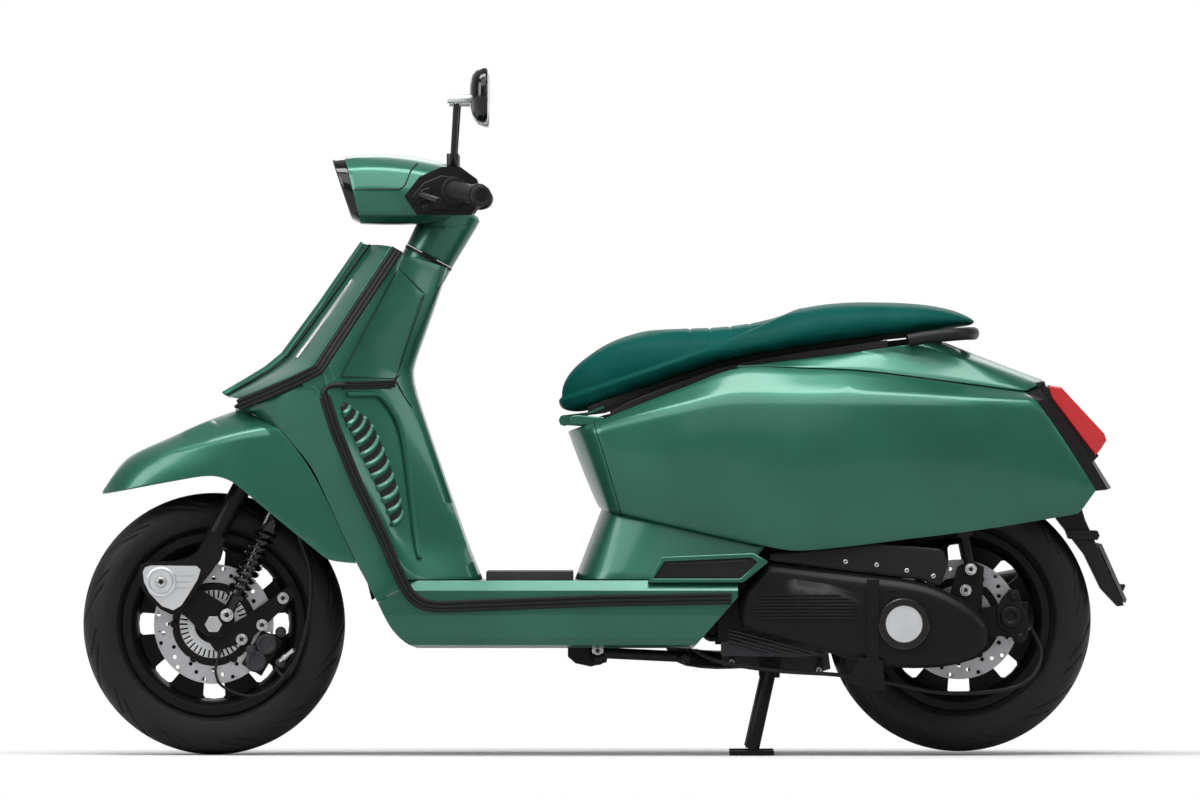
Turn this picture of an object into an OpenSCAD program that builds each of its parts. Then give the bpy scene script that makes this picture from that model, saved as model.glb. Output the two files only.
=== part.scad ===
// Motor scooter standing on its centre stand.
// Millimetres, +X forward, +Y left, +Z up, floor at z = 0.

/* [Wheels] */
// Distance between the two axles
wheelbase = 1345; // [1320:5:1380]
// Front tyre diameter
front_tyre_d = 473; // [466:1:477]
// Front tyre width
front_tyre_w = 120; // [112:1:124]
// Rear tyre diameter
rear_tyre_d = 478; // [470:1:482]
// Rear tyre width
rear_tyre_w = 130; // [122:1:134]
// Bead seat diameter of both rims
rim_d = 305; // [300:1:310]
// Height of the rim flanges over the bead seat
flange_h = 14; // [10:1:16]
// Brake disc diameter
disc_d = 216; // [206:1:224]
// Brake disc thickness
disc_t = 5; // [4:0.5:6]
// Axle diameter
axle_d = 20; // [16:1:22]
// Windows cut between the spokes
windows = 8; // [6:1:9]
// Height of the rear tyre over the floor
rear_lift = 6; // [4:1:12]

/* [Steering] */
// Angle of the steering axis from upright
rake = 28; // [27:0.5:29]
// Distance the steering axis meets the floor ahead of the axle
trail = 90; // [86:1:94]
// Distance between the two fork legs
fork_w = 170; // [166:1:176]
// Fork leg diameter
leg_d = 34; // [30:1:36]
// Steering stem diameter
stem_d = 30; // [26:1:34]
// Width over the bar ends
bar_w = 730; // [700:2:760]
// Handlebar tube diameter
bar_d = 22; // [20:1:25]
// Grip diameter
grip_d = 34; // [30:1:36]

/* [Bodywork] */
// Panel thickness
wall = 4; // [3:0.5:5]
// Width of the leg shield over its trim
shield_w = 412; // [404:2:420]
// Width of the floor over its trim
floor_w = 400; // [392:2:408]
// Height of the floor board
floor_h = 316; // [312:1:320]
// Thickness of the floor mat
mat_t = 16; // [10:1:20]
// Width over the side panels
body_w = 424; // [416:2:432]
// Width of the seat
seat_w = 296; // [286:2:306]
// Height of the seat cushion at the rider
seat_h = 774; // [766:1:782]

/* [Engine and stands] */
// Outer face of the transmission cover from the middle
cover_y = 190; // [184:1:194]
// Clutch cap diameter
cap_d = 86; // [78:1:92]
// Muffler diameter
muffler_d = 116; // [108:1:122]
// Fins on the sump
fins = 9; // [6:1:10]
// Side stand leg diameter
side_leg_d = 20; // [18:1:22]
// Length of the side stand leg
side_leg = 166; // [158:1:170]
// Centre stand tube diameter
stand_d = 26; // [22:1:28]
// Distance between the centre stand feet
stand_w = 250; // [240:2:256]

/* [Hidden] */
nose = front_tyre_d / 2;
tail = 298;
xf = (wheelbase + tail - nose) / 2;
xr = xf - wheelbase;
zf = front_tyre_d / 2;
zr = rear_lift + rear_tyre_d / 2;
clear = 0.4;
disc_y = 54;
seat_r = rim_d / 2;
sr = sin(rake);
cr = cos(rake);
axle_a = -trail * cr + zf * sr;
axle_h = trail * sr + zf * cr;
crown_h = axle_h + zf + 16;
leg_a = 103;
piv_a = axle_a + 118;
piv_h = axle_h + 27;
hs = shield_w / 2;
hf = floor_w / 2;
hb = body_w / 2;

function unit(v) = v / norm(v);
function flip(p) = [p[0], -p[1], p[2]];
function backward(v) = [for (i = [len(v) - 1:-1:0]) v[i]];
function spline(a, b, c, d, t) =
  0.5 * (2 * b + (c - a) * t + (2 * a - 5 * b + 4 * c - d) * t * t
  + (3 * b - a - 3 * c + d) * t * t * t);
function at(v, t) = let (n = len(v) - 1, k = min(floor(t * n), n - 1), f = t * n - k)
  spline(v[max(k - 1, 0)], v[k], v[k + 1], v[min(k + 2, n)], f);
function curve(v, n) = [for (i = [0:n]) at(v, i / n)];
function straight(v, n) = let (m = len(v) - 1)
  [for (i = [0:n]) let (k = min(floor(i * m / n), m - 1), f = i * m / n - k) v[k] * (1 - f) + v[k + 1] * f];
function shift(v, o) = [for (p = v) p + o];
// Points given from the front axle or from the rear axle along x.
function fr(v) = [for (p = v) [xf + p[0], p[1], p[2]]];
function rr(v) = [for (p = v) [xr + p[0], p[1], p[2]]];
// A half row from the left edge to the middle becomes a full row.
function full(v) = concat(v, [for (i = [len(v) - 2:-1:0]) flip(v[i])]);
// Columns of points, each resampled to the same count, turned into rows.
function turn(c) = [for (i = [0:len(c[0]) - 1]) [for (v = c) v[i]]];
function rows(cols, n) = turn([for (v = cols) curve(v, n)]);
function normal(g, i, j) = let (n = len(g) - 1, m = len(g[0]) - 1)
  unit(cross(g[min(i + 1, n)][j] - g[max(i - 1, 0)][j],
  g[i][min(j + 1, m)] - g[i][max(j - 1, 0)]));

module shell(g, t) {
  n = len(g);
  m = len(g[0]);
  under = [for (i = [0:n - 1]) [for (j = [0:m - 1]) g[i][j] - t * normal(g, i, j)]];
  pts = concat([for (r = g) each r], [for (r = under) each r]);
  o = n * m;
  top = [for (i = [0:n - 2], j = [0:m - 2]) each [[i * m + j, i * m + j + 1, (i + 1) * m + j + 1],
    [i * m + j, (i + 1) * m + j + 1, (i + 1) * m + j]]];
  low = [for (f = top) [f[2] + o, f[1] + o, f[0] + o]];
  ends = [for (j = [0:m - 2]) each [[j, j + o, j + 1], [j + 1, j + o, j + 1 + o],
    [(n - 1) * m + j, (n - 1) * m + j + 1, (n - 1) * m + j + o],
    [(n - 1) * m + j + 1, (n - 1) * m + j + 1 + o, (n - 1) * m + j + o]]];
  sides = [for (i = [0:n - 2]) each [[i * m, (i + 1) * m, i * m + o],
    [(i + 1) * m, (i + 1) * m + o, i * m + o],
    [i * m + m - 1, i * m + m - 1 + o, (i + 1) * m + m - 1],
    [(i + 1) * m + m - 1, i * m + m - 1 + o, (i + 1) * m + m - 1 + o]]];
  polyhedron(pts, concat(top, low, ends, sides), convexity = 6);
}

module loft(rings) {
  n = len(rings);
  m = len(rings[0]);
  side = [for (i = [0:n - 2], j = [0:m - 1]) each [[i * m + j, (i + 1) * m + j, i * m + (j + 1) % m],
    [i * m + (j + 1) % m, (i + 1) * m + j, (i + 1) * m + (j + 1) % m]]];
  b = (n - 1) * m;
  caps = concat([for (j = [1:m - 2]) [0, j, j + 1]], [for (j = [1:m - 2]) [b, b + j + 1, b + j]]);
  polyhedron([for (r = rings) each r], concat(side, caps), convexity = 6);
}

function ring(path, i, prof, ref) = let (n = len(path) - 1,
  t = unit(path[min(i + 1, n)] - path[max(i - 1, 0)]), s = unit(cross(t, ref)), r = cross(s, t))
  [for (q = prof) path[i] + s * q[0] + r * q[1]];
module sweep(path, prof, ref) {
  loft([for (i = [0:len(path) - 1]) ring(path, i, prof, ref)]);
}
function round_prof(r, n) = [for (i = [0:n - 1]) r * [cos(-360 * i / n), sin(-360 * i / n)]];
module hose(path, r, ref = [0.1, 1, 0.2]) {
  sweep(path, round_prof(r, 10), ref);
}
// Straight round rod between two points.
module rod(a, b, r) {
  v = b - a;
  translate(a) rotate([0, acos(v[2] / norm(v)), atan2(v[1], v[0])]) cylinder(r = r, h = norm(v), $fn = 24);
}
module both() {
  children();
  mirror([0, 1, 0]) children();
}
// Frame with z along the axle towards the left.
module axle_frame(x, z) {
  translate([x, 0, z]) rotate([-90, 0, 0]) children();
}
module stem_frame() {
  translate([xf + trail, 0, 0]) rotate([0, -rake, 0]) children();
}
// Plate in the stem frame between two heights across, its outline given in a and h.
module stem_plate(outline, y0, y1) {
  stem_frame() translate([0, y1, 0]) rotate([90, 0, 0]) linear_extrude(y1 - y0) polygon(outline);
}
module stem_pin(a, h, r, y0, y1) {
  stem_frame() translate([a, y0, h]) rotate([-90, 0, 0]) cylinder(r = r, h = y1 - y0, $fn = 32);
}
// Plate in the plain frame, its outline given in x and z.
module plate(outline, y0, y1) {
  translate([0, y1, 0]) rotate([90, 0, 0]) linear_extrude(y1 - y0) polygon(outline);
}
module pin(x, z, r, y0, y1) {
  translate([x, y0, z]) rotate([-90, 0, 0]) cylinder(r = r, h = y1 - y0, $fn = 32);
}

// Wheels
module tyre(d, w) {
  r = d / 2;
  h = w / 2;
  b = seat_r + 0.3;
  f = seat_r + flange_h + 2;
  s = r - f;
  half = [[r, 0], [r - 0.022 * s, h * 0.3], [r - 0.1 * s, h * 0.62], [r - 0.235 * s, h * 0.86],
    [r - 0.41 * s, h * 0.97], [r - 0.59 * s, h],
    [f + 0.12 * s, h * 0.92], [f, 43], [b, 43]];
  inner = [[b, 32], [f - 4, 34], [f + 0.09 * s, h * 0.76], [r - 0.59 * s, h * 0.82],
    [r - 0.36 * s, h * 0.76], [r - 0.21 * s, h * 0.5], [r - 0.16 * s, 0]];
  rotate_extrude($fn = 72) polygon(concat(half, inner, [for (i = [len(inner) - 2:-1:0]) [inner[i][0],
    -inner[i][1]]],
    [for (i = [len(half) - 1:-1:1]) [half[i][0], -half[i][1]]]));
}
module rim(hub_l, hub_r) {
  f = seat_r + flange_h;
  difference() {
    union() {
      rotate_extrude($fn = 72) polygon([[seat_r, 43.4], [f - 2, 43.4], [f, 45], [f, 47], [f - 3, 49],
        [seat_r - 2, 49],
        [seat_r - 9, 44], [seat_r - 16, 28], [seat_r - 17, 12], [60, 10], [60, -10], [seat_r - 17, -12],
        [seat_r - 16, -28], [seat_r - 9, -44], [seat_r - 2, -49], [f - 3, -49], [f, -47], [f, -45],
          [f - 2, -43.4],
        [seat_r, -43.4], [seat_r, -34], [seat_r - 10, -24], [seat_r - 10, 24], [seat_r, 34]]);
      translate([0, 0, -hub_r]) cylinder(r = 34, h = hub_l + hub_r, $fn = 48);
      translate([0, 0, -16]) cylinder(r = 64, h = 32, $fn = 48);
    }
    translate([0, 0, -hub_r - 1]) cylinder(r = axle_d / 2 + clear, h = hub_l + hub_r + 2, $fn = 32);
    for (k = [0:windows - 1]) rotate(360 * k / windows) translate([0, 0, -30]) linear_extrude(60)
      polygon([[84, -14], [88, -17], [seat_r - 24, -20], [seat_r - 19, -16], [seat_r - 17, 0],
        [seat_r - 19, 16],
        [seat_r - 24, 20], [88, 17], [84, 14]]);
  }
}
// Brake disc on its carrier, with cooling holes and, if any, the slots of a speed sensor ring.
module disc(hole_r, slots) {
  r = disc_d / 2;
  band = r - 33;
  difference() {
    cylinder(r = r, h = disc_t, $fn = 72);
    translate([0, 0, -1]) cylinder(r = hole_r, h = disc_t + 2, $fn = 48);
    translate([0, 0, -1]) for (k = [0:5]) rotate(60 * k + 8) rotate_extrude(angle = 44,
      $fn = 72) translate([band - 7, 0]) square([7, disc_t + 2]);
    for (k = [0:11]) rotate(30 * k) for (q = [[8, 0], [17, 10], [26, 20]])
      rotate(q[1]) translate([band + q[0], 0, -1]) cylinder(r = 3.5, h = disc_t + 2, $fn = 16);
    if (slots > 0) for (k = [0:slots - 1]) rotate(360 * k / slots) translate([47, -1.4, -1]) cube([14, 2.8,
      disc_t + 2]);
  }
}
module front_tyre() { color([0.06, 0.06, 0.06]) axle_frame(xf, zf) tyre(front_tyre_d, front_tyre_w); }
module rear_tyre() { color([0.06, 0.06, 0.06]) axle_frame(xr, zr) tyre(rear_tyre_d, rear_tyre_w); }
module front_rim() { color([0.09, 0.09, 0.1]) axle_frame(xf, zf) rim(52, 52); }
module rear_rim() { color([0.09, 0.09, 0.1]) axle_frame(xr, zr) rim(52, 52); }
module front_disc() { color([0.6, 0.6, 0.6]) axle_frame(xf, zf) translate([0, 0, disc_y]) disc(34.4, 40); }
module rear_disc() { color([0.6, 0.6, 0.6]) axle_frame(xr, zr) translate([0, 0, disc_y]) disc(34.4, 0); }

// Steering
module fork() {
  w = fork_w / 2;
  color([0.2, 0.2, 0.21]) {
    stem_frame() {
      translate([0, 0, crown_h]) linear_extrude(30) polygon([[-32, -44], [-18, -w - 30], [44, -w - 30],
        [leg_a, -w - 20], [leg_a + 22, -w - 2],
        [leg_a + 14, -w + 22], [50, -34], [50, 34], [leg_a + 14, w - 22], [leg_a + 22, w + 2],
          [leg_a, w + 20], [44, w + 30], [-18, w + 30], [-32, 44]]);
      translate([0, 0, crown_h + 20]) cylinder(r = stem_d / 2, h = stem_top - crown_h - 20, $fn = 32);
      both() translate([leg_a, w, piv_h + 60]) cylinder(r = leg_d / 2, h = crown_h + 10 - piv_h - 60,
        $fn = 32);
    }
    both() {
      plate(fr2([[3, 406], [12, 390], [22, 374], [34, 363], [50, 355], [74, 350], [118, 349.5], [131, 344],
        [135, 331], [132, 308], [121, 288], [96, 264], [76, 254], [62, 257],
        [50, 270], [30, 298], [4, 330], [-10, 352], [-21, 391]]), w + 4, w + 18);
      stem_pin(piv_a, piv_h, 9, w - 12, w + 8);
    }
  }
}
module front_links() {
  color([0.16, 0.16, 0.17]) both() difference() {
    stem_plate([[piv_a + 16, piv_h + 8], [piv_a + 4, piv_h + 18], [axle_a + 40, axle_h + 44],
      [axle_a - 20, axle_h + 40],
      [axle_a - 32, axle_h + 22], [axle_a - 24, axle_h - 14], [axle_a, axle_h - 24],
        [axle_a + 30, axle_h - 18],
      [piv_a + 6, piv_h - 17], [piv_a + 17, piv_h - 6]], fork_w / 2 - 11, fork_w / 2 + 1);
    stem_pin(piv_a, piv_h, 9 + clear, fork_w / 2 - 20, fork_w / 2 + 20);
    stem_pin(axle_a, axle_h, axle_d / 2 + clear, fork_w / 2 - 20, fork_w / 2 + 20);
    stem_pin(axle_a - 14, axle_h + 26, 6 + clear, fork_w / 2 - 20, fork_w / 2 + 20);
  }
}
module link_covers() {
  y0 = fork_w / 2 + 18 + clear;
  color([0.72, 0.73, 0.74]) both() difference() {
    union() {
      plate(fr2([[127, 331], [123, 339], [112, 342.5], [30, 341.5], [23, 335], [28, 318], [44, 291],
        [58, 270], [72, 262], [92, 269], [115, 293], [124.5, 312]]), y0, y0 + 8);
      pin(xf + 94, 313, 20, y0 + 7, y0 + 13);
    }
    pin(xf + 94, 313, 11, y0 + 10, y0 + 20);
    for (k = [0:2]) plate(fr2([[34 + 6 * k, 325 - 11 * k], [70, 325 - 11 * k], [70, 322 - 11 * k],
      [35 + 6 * k, 322 - 11 * k]]), y0 + 6, y0 + 9);
  }
}
// Round wire wound about a line from a to b.
module coil(a, b, d, r, wire, turns) {
  u = unit(cross(d, [0, 1, 0]));
  v = cross(d, u);
  n = 12 * turns;
  sweep([for (i = [0:n]) a + (b - a) * i / n + r * (u * cos(30 * i) + v * sin(30 * i))],
    round_prof(wire, 6), d);
}
spring_turns = 9;
module front_shocks() {
  w = fork_w / 2;
  ya = w + 12;
  color([0.12, 0.12, 0.13]) both() {
    b = [axle_a - 14, ya, axle_h + 26];
    e = [axle_a - 4, ya, crown_h - 14];
    d = unit(e - b);
    stem_pin(b[0], b[2], 6, w - 8, ya - 6);
    stem_pin(b[0], b[2], 12, w + 1 + clear, w + 22);
    stem_frame() {
      rod(b + d * 8, e, 10);
      rod(b + d * 34, b + d * 42, 19);
      rod(e - d * 44, e - d * 4, 18);
      translate(e - [0, 0, 14]) cylinder(r = 14, h = 14 + 14 - clear, $fn = 32);
      coil(b + d * 46.2, e - d * 48.2, d, 17, 3.6, spring_turns);
    }
  }
}
module front_axle() {
  color([0.55, 0.55, 0.56]) {
    axle_frame(xf, zf) {
      translate([0, 0, -fork_w / 2 - 8]) cylinder(r = axle_d / 2, h = fork_w + 16, $fn = 32);
      both_z() translate([0, 0, fork_w / 2 + 1 + clear]) cylinder(r = 16, h = 10, $fn = 6);
    }
  }
}
module both_z() {
  children();
  mirror([0, 0, 1]) children();
}
module front_caliper() {
  y1 = fork_w / 2 - 11 - clear;
  color([0.1, 0.1, 0.11]) difference() {
    union() {
      axle_frame(xf, zf) rotate(149) {
        translate([80, -36, 40]) cube([42, 72, y1 - 50]);
        for (t = [-18, 18]) translate([100, t, 40]) cylinder(r = 20, h = y1 - 43, $fn = 32);
      }
      axle_frame(xf, zf) translate([0, 0, y1 - 10]) linear_extrude(10) polygon([[12, 27], [-4, 50],
        [-64, 30], [-140, -42], [-147, -50], [-148, -58], [-142, -66], [-133, -67], [-60, -16]]);
      axle_frame(xf, zf) translate([0, 0, y1 - 10]) cylinder(r = 25, h = 10, $fn = 32);
    }
    axle_frame(xf, zf) translate([0, 0, disc_y - 2]) cylinder(r = disc_d / 2 + 4, h = disc_t + 4, $fn = 72);
    axle_frame(xf, zf) translate([0, 0, 30]) cylinder(r = axle_d / 2 + clear, h = 60, $fn = 32);
  }
}
// Half section of the headset from the middle below, by the shoulder, to the middle above.
function nac(dx, hw, low, top, lean) = [for (q = [[0, 0], [0.7, 0.02], [0.93, 0.14], [1, 0.49],
  [0.84, 0.79], [0.5, 0.95], [0, 1]])
  [xf + dx + (q[1] - 0.5) * (top - low) * lean, q[0] * hw, low + q[1] * (top - low)]];
function loop(h) = concat(h, [for (i = [len(h) - 2:-1:1]) flip(h[i])]);
nac_rings = [nac(-251, 88, 957.5, 1082, 0.24), nac(-290, 104, 956, 1087, 0.2),
  nac(-332, 116, 956, 1086, 0.12), nac(-364, 120, 957, 1082, 0.05),
  nac(-396, 116, 959, 1075, -0.05), nac(-430, 100, 964, 1064, -0.2), nac(-450, 78, 976, 1052, -0.3)];
module nacelle() {
  color([0.06, 0.28, 0.22]) difference() {
    loft([for (r = nac_rings) loop(r)]);
    rod(fr([bar_pts[0]])[0] - [0, 200, 0], fr([bar_pts[0]])[0] + [0, 200, 0], bar_d / 2 + clear);
  }
}
// Black surround with the lens set back in it.
module headlamp() {
  color([0.03, 0.03, 0.03]) loft([loop(nac(-237, 66, 970, 1070, 0.336)),
    loop(nac(-231, 74, 966, 1076, 0.336)), loop(nac(-233, 80, 964, 1078, 0.336)),
    loop(nac(-250.3, 87, 958, 1081, 0.24))]);
}
module steering_neck() {
  color([0.06, 0.28, 0.22]) difference() {
    stem_frame() difference() {
      translate([0, 0, 1020.6]) cylinder(r1 = 46, r2 = 52, h = 110.4, $fn = 48);
      translate([0, 0, 1000]) cylinder(r = stem_d / 2 + clear, h = stem_top - 1000 + clear, $fn = 32);
    }
    translate([xf - 800, -200, 955 - clear]) cube([800, 400, 300]);
  }
}
stem_top = 1046;
bar_pts = [[-420, 0, 1020], [-420, 178, 1020], [-448, 226, 1016], [-484, bar_w / 2 - 10, 1007]];
module handlebar() {
  b = fr(bar_pts);
  color([0.1, 0.1, 0.1]) {
    rod(flip(b[1]), b[1], bar_d / 2);
    both() rod(b[1] - unit(b[3] - b[1]) * 8, b[3] + unit(b[3] - b[1]) * 4, bar_d / 2);
  }
}
module grips() {
  b = fr(bar_pts);
  d = unit(b[3] - b[1]);
  color([0.05, 0.05, 0.05]) both() difference() {
    union() {
      rod(b[1] + d * 48, b[3] - d * 14, grip_d / 2);
      rod(b[1] + d * 40, b[1] + d * 50, grip_d / 2 + 8);
      rod(b[3] - d * 16, b[3] - d * 11, grip_d / 2 + 4);
      rod(b[3] - d * 11 + d * clear, b[3] + d * 4, grip_d / 2 + 1.5);
    }
    rod(b[1], b[3] + d * 20, bar_d / 2 + 0.05);
  }
}
module switch_gear() {
  b = fr(bar_pts);
  color([0.06, 0.06, 0.06]) both() difference() {
    plate(fr2([[-345, 1007], [-372, 1042], [-412, 1060], [-446, 1060], [-476, 1038], [-480, 993],
      [-466, 973], [-368, 973]]), 128, 206);
    rod(b[0], b[1] + [0, 3, 0], bar_d / 2 + clear);
    rod(b[1] - unit(b[3] - b[1]) * 9, b[3], bar_d / 2 + clear);
  }
}
function fr2(v) = [for (p = v) [xf + p[0], p[1]]];
function rr2(v) = [for (p = v) [xr + p[0], p[1]]];
module levers() {
  path = curve(fr([[-376, 206 + clear, 1010], [-377, 226, 1010], [-382, 262, 1008], [-396, 310, 1003],
    [-410, bar_w / 2 - 18, 998]]), 10);
  color([0.5, 0.5, 0.52]) both() sweep(path, [for (i = [0:9]) [8 * cos(-36 * i), 5 * sin(-36 * i)]],
    [0, 0, 1]);
}
function oval(x, y, z, w, h) = [for (i = [0:27]) let (c = cos(-360 * i / 28), d = sin(-360 * i / 28))
  [xf + x, y + w * sign(c) * pow(abs(c), 0.72), z + h * sign(d) * pow(abs(d), 0.72)]];
module mirrors() {
  p = fr([[-432, 166, 1060 + clear], [-433, 168, 1078], [-439, 232, 1176]]);
  color([0.04, 0.04, 0.04]) both() {
    translate(p[0]) cylinder(r = 11, h = 24, $fn = 24);
    rod(p[1], p[2], 5.5);
    rod(p[2] + [16, 0, 6], p[2] + [-24, 0, 6], 8);
    loft([for (q = [[-463.4, 22, 20], [-468, 46, 38], [-476, 62, 47], [-486, 69, 51], [-492, 70, 52],
      [-495, 68, 50.5]])
      oval(q[0], 250, 1188, q[1], q[2])]);
  }
}
module front_hose() {
  color([0.05, 0.05, 0.05]) hose(curve(fr([[-112, 69, 158], [-130, 82, 140], [-152, 98, 176],
    [-172, 106, 250],
    [-176, 108, 330], [-156, 108, 390], [-146, 108, 428]]), 16), 4);
}

// Front bodywork
// Seam between the fender and the leg shield, from the middle down to the floor end.
seam_pts = [[-36, 0, 626], [-66, hs * 0.39, 617], [-118, hs * 0.77, 590], [-178, hs * 0.83, 522],
  [-232, hs * 0.87, 402], [-258, hs * 0.89, 347]];
// Edge of the front face, from the neck down to the bend and forward to the nose.
face_edge = [[-321, hs * 0.54, 918], [-250, hs * 0.73, 810], [-180, hs * 0.91, 703], [-150, hs * 0.89, 688],
  [-100, hs * 0.74, 666], [-46, hs * 0.42, 644]];
tie_pts = [[-265, 928], [-191, 821], [-121, 726], [-92, 702], [-56, 680], [-13, 655]];
face_mid = [for (p = tie_pts) [p[0] - 9, 0, p[1] - 7]];
// Outer edge of the leg shield from the bend down to the floor.
shield_edge = [[-195, hs * 0.95, 650], [-214, hs * 0.965, 590], [-255, hs * 0.965, 490],
  [-303, hs * 0.96, 390], [-344, hf - 0.6, floor_h - 13]];
module front_fender() {
  k = hs / 206;
  e = fr(seam_pts);
  low = [[202, 18, 472], [190, 50, 474], [152, 95, 481], [60, 125, 497], [5, 140, 505], [-35, 152, 494],
    [-78, 160, 458], [-186, 174, 370], [-212, 178, 352]];
  skirt = [[201.5, 17.5, 474], [186, 50, 485], [143, 95, 497], [48, 127, 514], [-12, 143, 522],
    [-56, 154, 514], [-98, 161, 484], [-186, 173, 418], [-210, 177, 408]];
  side = [[201, 17, 476], [181, 49, 497], [132, 93, 515], [40, 126, 532], [-22, 143, 542], [-64, 153, 542],
    [-100, 160, 536], [-140, 166, 530], [-160, 169, 526]];
  edge = [[199, 15, 479], [174, 46, 513], [112, 88, 541], [40, 118, 556], [0, 131, 566], [-30, 140, 573],
    [-60, 148, 580], [-85, 153, 585], [-102, 156, 588]];
  roof = [[197, 8, 482], [172, 24, 518], [134, 42, 549], [80, 58, 572], [40, 66, 590], [12, 70, 602],
    [-12, 73, 609], [-34, 76, 613], [-50, 78, 616]];
  top = [[196, 0, 484], [174, 0, 520], [150, 0, 542], [110, 0, 560], [75, 0, 576], [45, 0, 590],
    [15, 0, 604], [-8, 0, 614], [-24, 0, 621]];
  c = [low, skirt, side, edge, roof, top];
  lines = [for (i = [0:5]) concat(fr([for (p = c[i]) [p[0], p[1] * k, p[2]]]), [e[5 - i]])];
  color([0.06, 0.28, 0.22]) shell([for (r = rows(lines, 18)) full(r)], wall);
}
module front_apron() {
  inner = [for (i = [0:5]) (face_mid[i] * 2 + face_edge[i]) / 3 + [4, 0, 2]];
  outer = [for (i = [0:5]) (face_mid[i] + face_edge[i] * 2) / 3 + [4, 0, 2]];
  lines = [face_edge, outer, inner, face_mid];
  color([0.06, 0.28, 0.22])
    shell([for (r = turn([for (c = lines) straight(fr(c), 10)])) backward(full(r))], wall);
}
module center_tie() {
  w = [34, 26, 22, 24, 30, 16];
  color([0.06, 0.28, 0.22]) loft([for (i = [0:5]) let (c = fr([face_mid[i]])[0],
    f = min(1, 3 * w[i] / face_edge[i][1]), o = [4 * f + 0.5, 0, 2 * f + 0.3])
    [c + o + [0, -w[i], 0], c + o + [0, w[i], 0], c + [9, w[i] * 0.5, 7], c + [9, -w[i] * 0.5, 7]]]);
}
rib_w = 10.5;
rib = [for (q = [[0, 0], [-1, 0], [-1, 0.6], [-0.86, 1], [-0.5, 1], [-0.42, 0.7], [-0.28, 0.7], [-0.2, 1],
  [0.2, 1], [0.28, 0.7], [0.42, 0.7], [0.5, 1], [0.86, 1], [1, 0.6], [1, 0]]) [q[0] * rib_w, q[1] * 6]];
knee_trim = [[-234, hs * 0.885, 667], [-326, hs * 0.625, 670]];
module shield_trim() {
  upper = concat(shift(straight(fr([for (i = [0:2]) face_edge[i]]), 8), [-10.8, 1.8, -7]),
    shift(straight(fr([for (i = [3:5]) face_edge[i]]), 6), [-2.4, 2.4, -11.4]));
  lower = concat(shift(straight(fr([for (i = [0:3]) shield_edge[i]]), 6), [-7, 1, -3]),
    curve([[xf - 326, hf + 1, floor_h + 32], [xf - 344, hf + 1, floor_h - 6],
    [xf - 358, hf + 1, floor_h - 28], [xf - 380, hf + clear, floor_h - 43],
      [xf - 410, hf + clear, floor_h - 47]], 8), [[xr + 640, hf + clear, floor_h - 36],
      [xr + 412, hf + clear, floor_h - 32]]);
  n = unit(cross([0, 0, -1], knee_trim[1] - knee_trim[0]));
  color([0.04, 0.04, 0.04]) both() {
    sweep(upper, rib, [0.25, 1, 0]);
    sweep(lower, rib, [0, 1, 0]);
    sweep(shift(fr(knee_trim), n * 1.6), rib * 0.66, n);
  }
}
module leg_shield() {
  a = concat(shift([for (i = [5, 4, 3]) face_edge[i]], [-6, 1, -20]), [[-184, hs * 0.93, 668]],
    shield_edge);
  b = concat(shift([for (i = [1:5]) seam_pts[i]], [-0.6, 0.4, 0.3]),
    [[-278, hs * 0.92, floor_h - 4], [-287, hs * 0.94, floor_h - 22], [-297, hf - 0.6, floor_h - 39]]);
  n = 14;
  color([0.06, 0.28, 0.22]) both() shell(turn([straight(fr(b), n),
    shift((straight(fr(a), n) + straight(fr(b), n)) / 2, [2, 3, 0]), straight(fr(a), n)]), wall);
}
// Lines down the rider's side of the leg shield:
// the step behind the edge, its foot, the rear corner and the middle.
step_line = [[-340, hs * 0.52, 904], [-300, hs * 0.7, 800], [-232, hs * 0.89, 690], [-238, hs * 0.87, 650],
  [-262, hs * 0.86, 580], [-292, hs * 0.86, 480],
  [-326, hs * 0.86, 380], [-372, hs * 0.9, floor_h + 2]];
foot_line = [[-358, hs * 0.48, 899], [-379, hs * 0.455, 822], [-328, hs * 0.58, 690],
  [-322, hs * 0.66, 650], [-338, hs * 0.68, 580], [-358, hs * 0.7, 480],
  [-380, hs * 0.71, 380], [-408, hs * 0.78, floor_h + 2]];
corner_line = [[-420, hs * 0.28, 880], [-394, hs * 0.36, 800], [-355, hs * 0.43, 690],
  [-364, hs * 0.46, 650], [-388, hs * 0.49, 580], [-422, hs * 0.53, 480],
  [-456, hs * 0.57, 380], [-480, hs * 0.6, floor_h + 2]];
back_line = [[-424, 0, 878], [-398, 0, 800], [-360, 0, 696], [-368, 0, 654], [-392, 0, 580], [-427, 0, 480],
  [-462, 0, 380], [-488, 0, floor_h + 2]];
louvres = 10;
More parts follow.
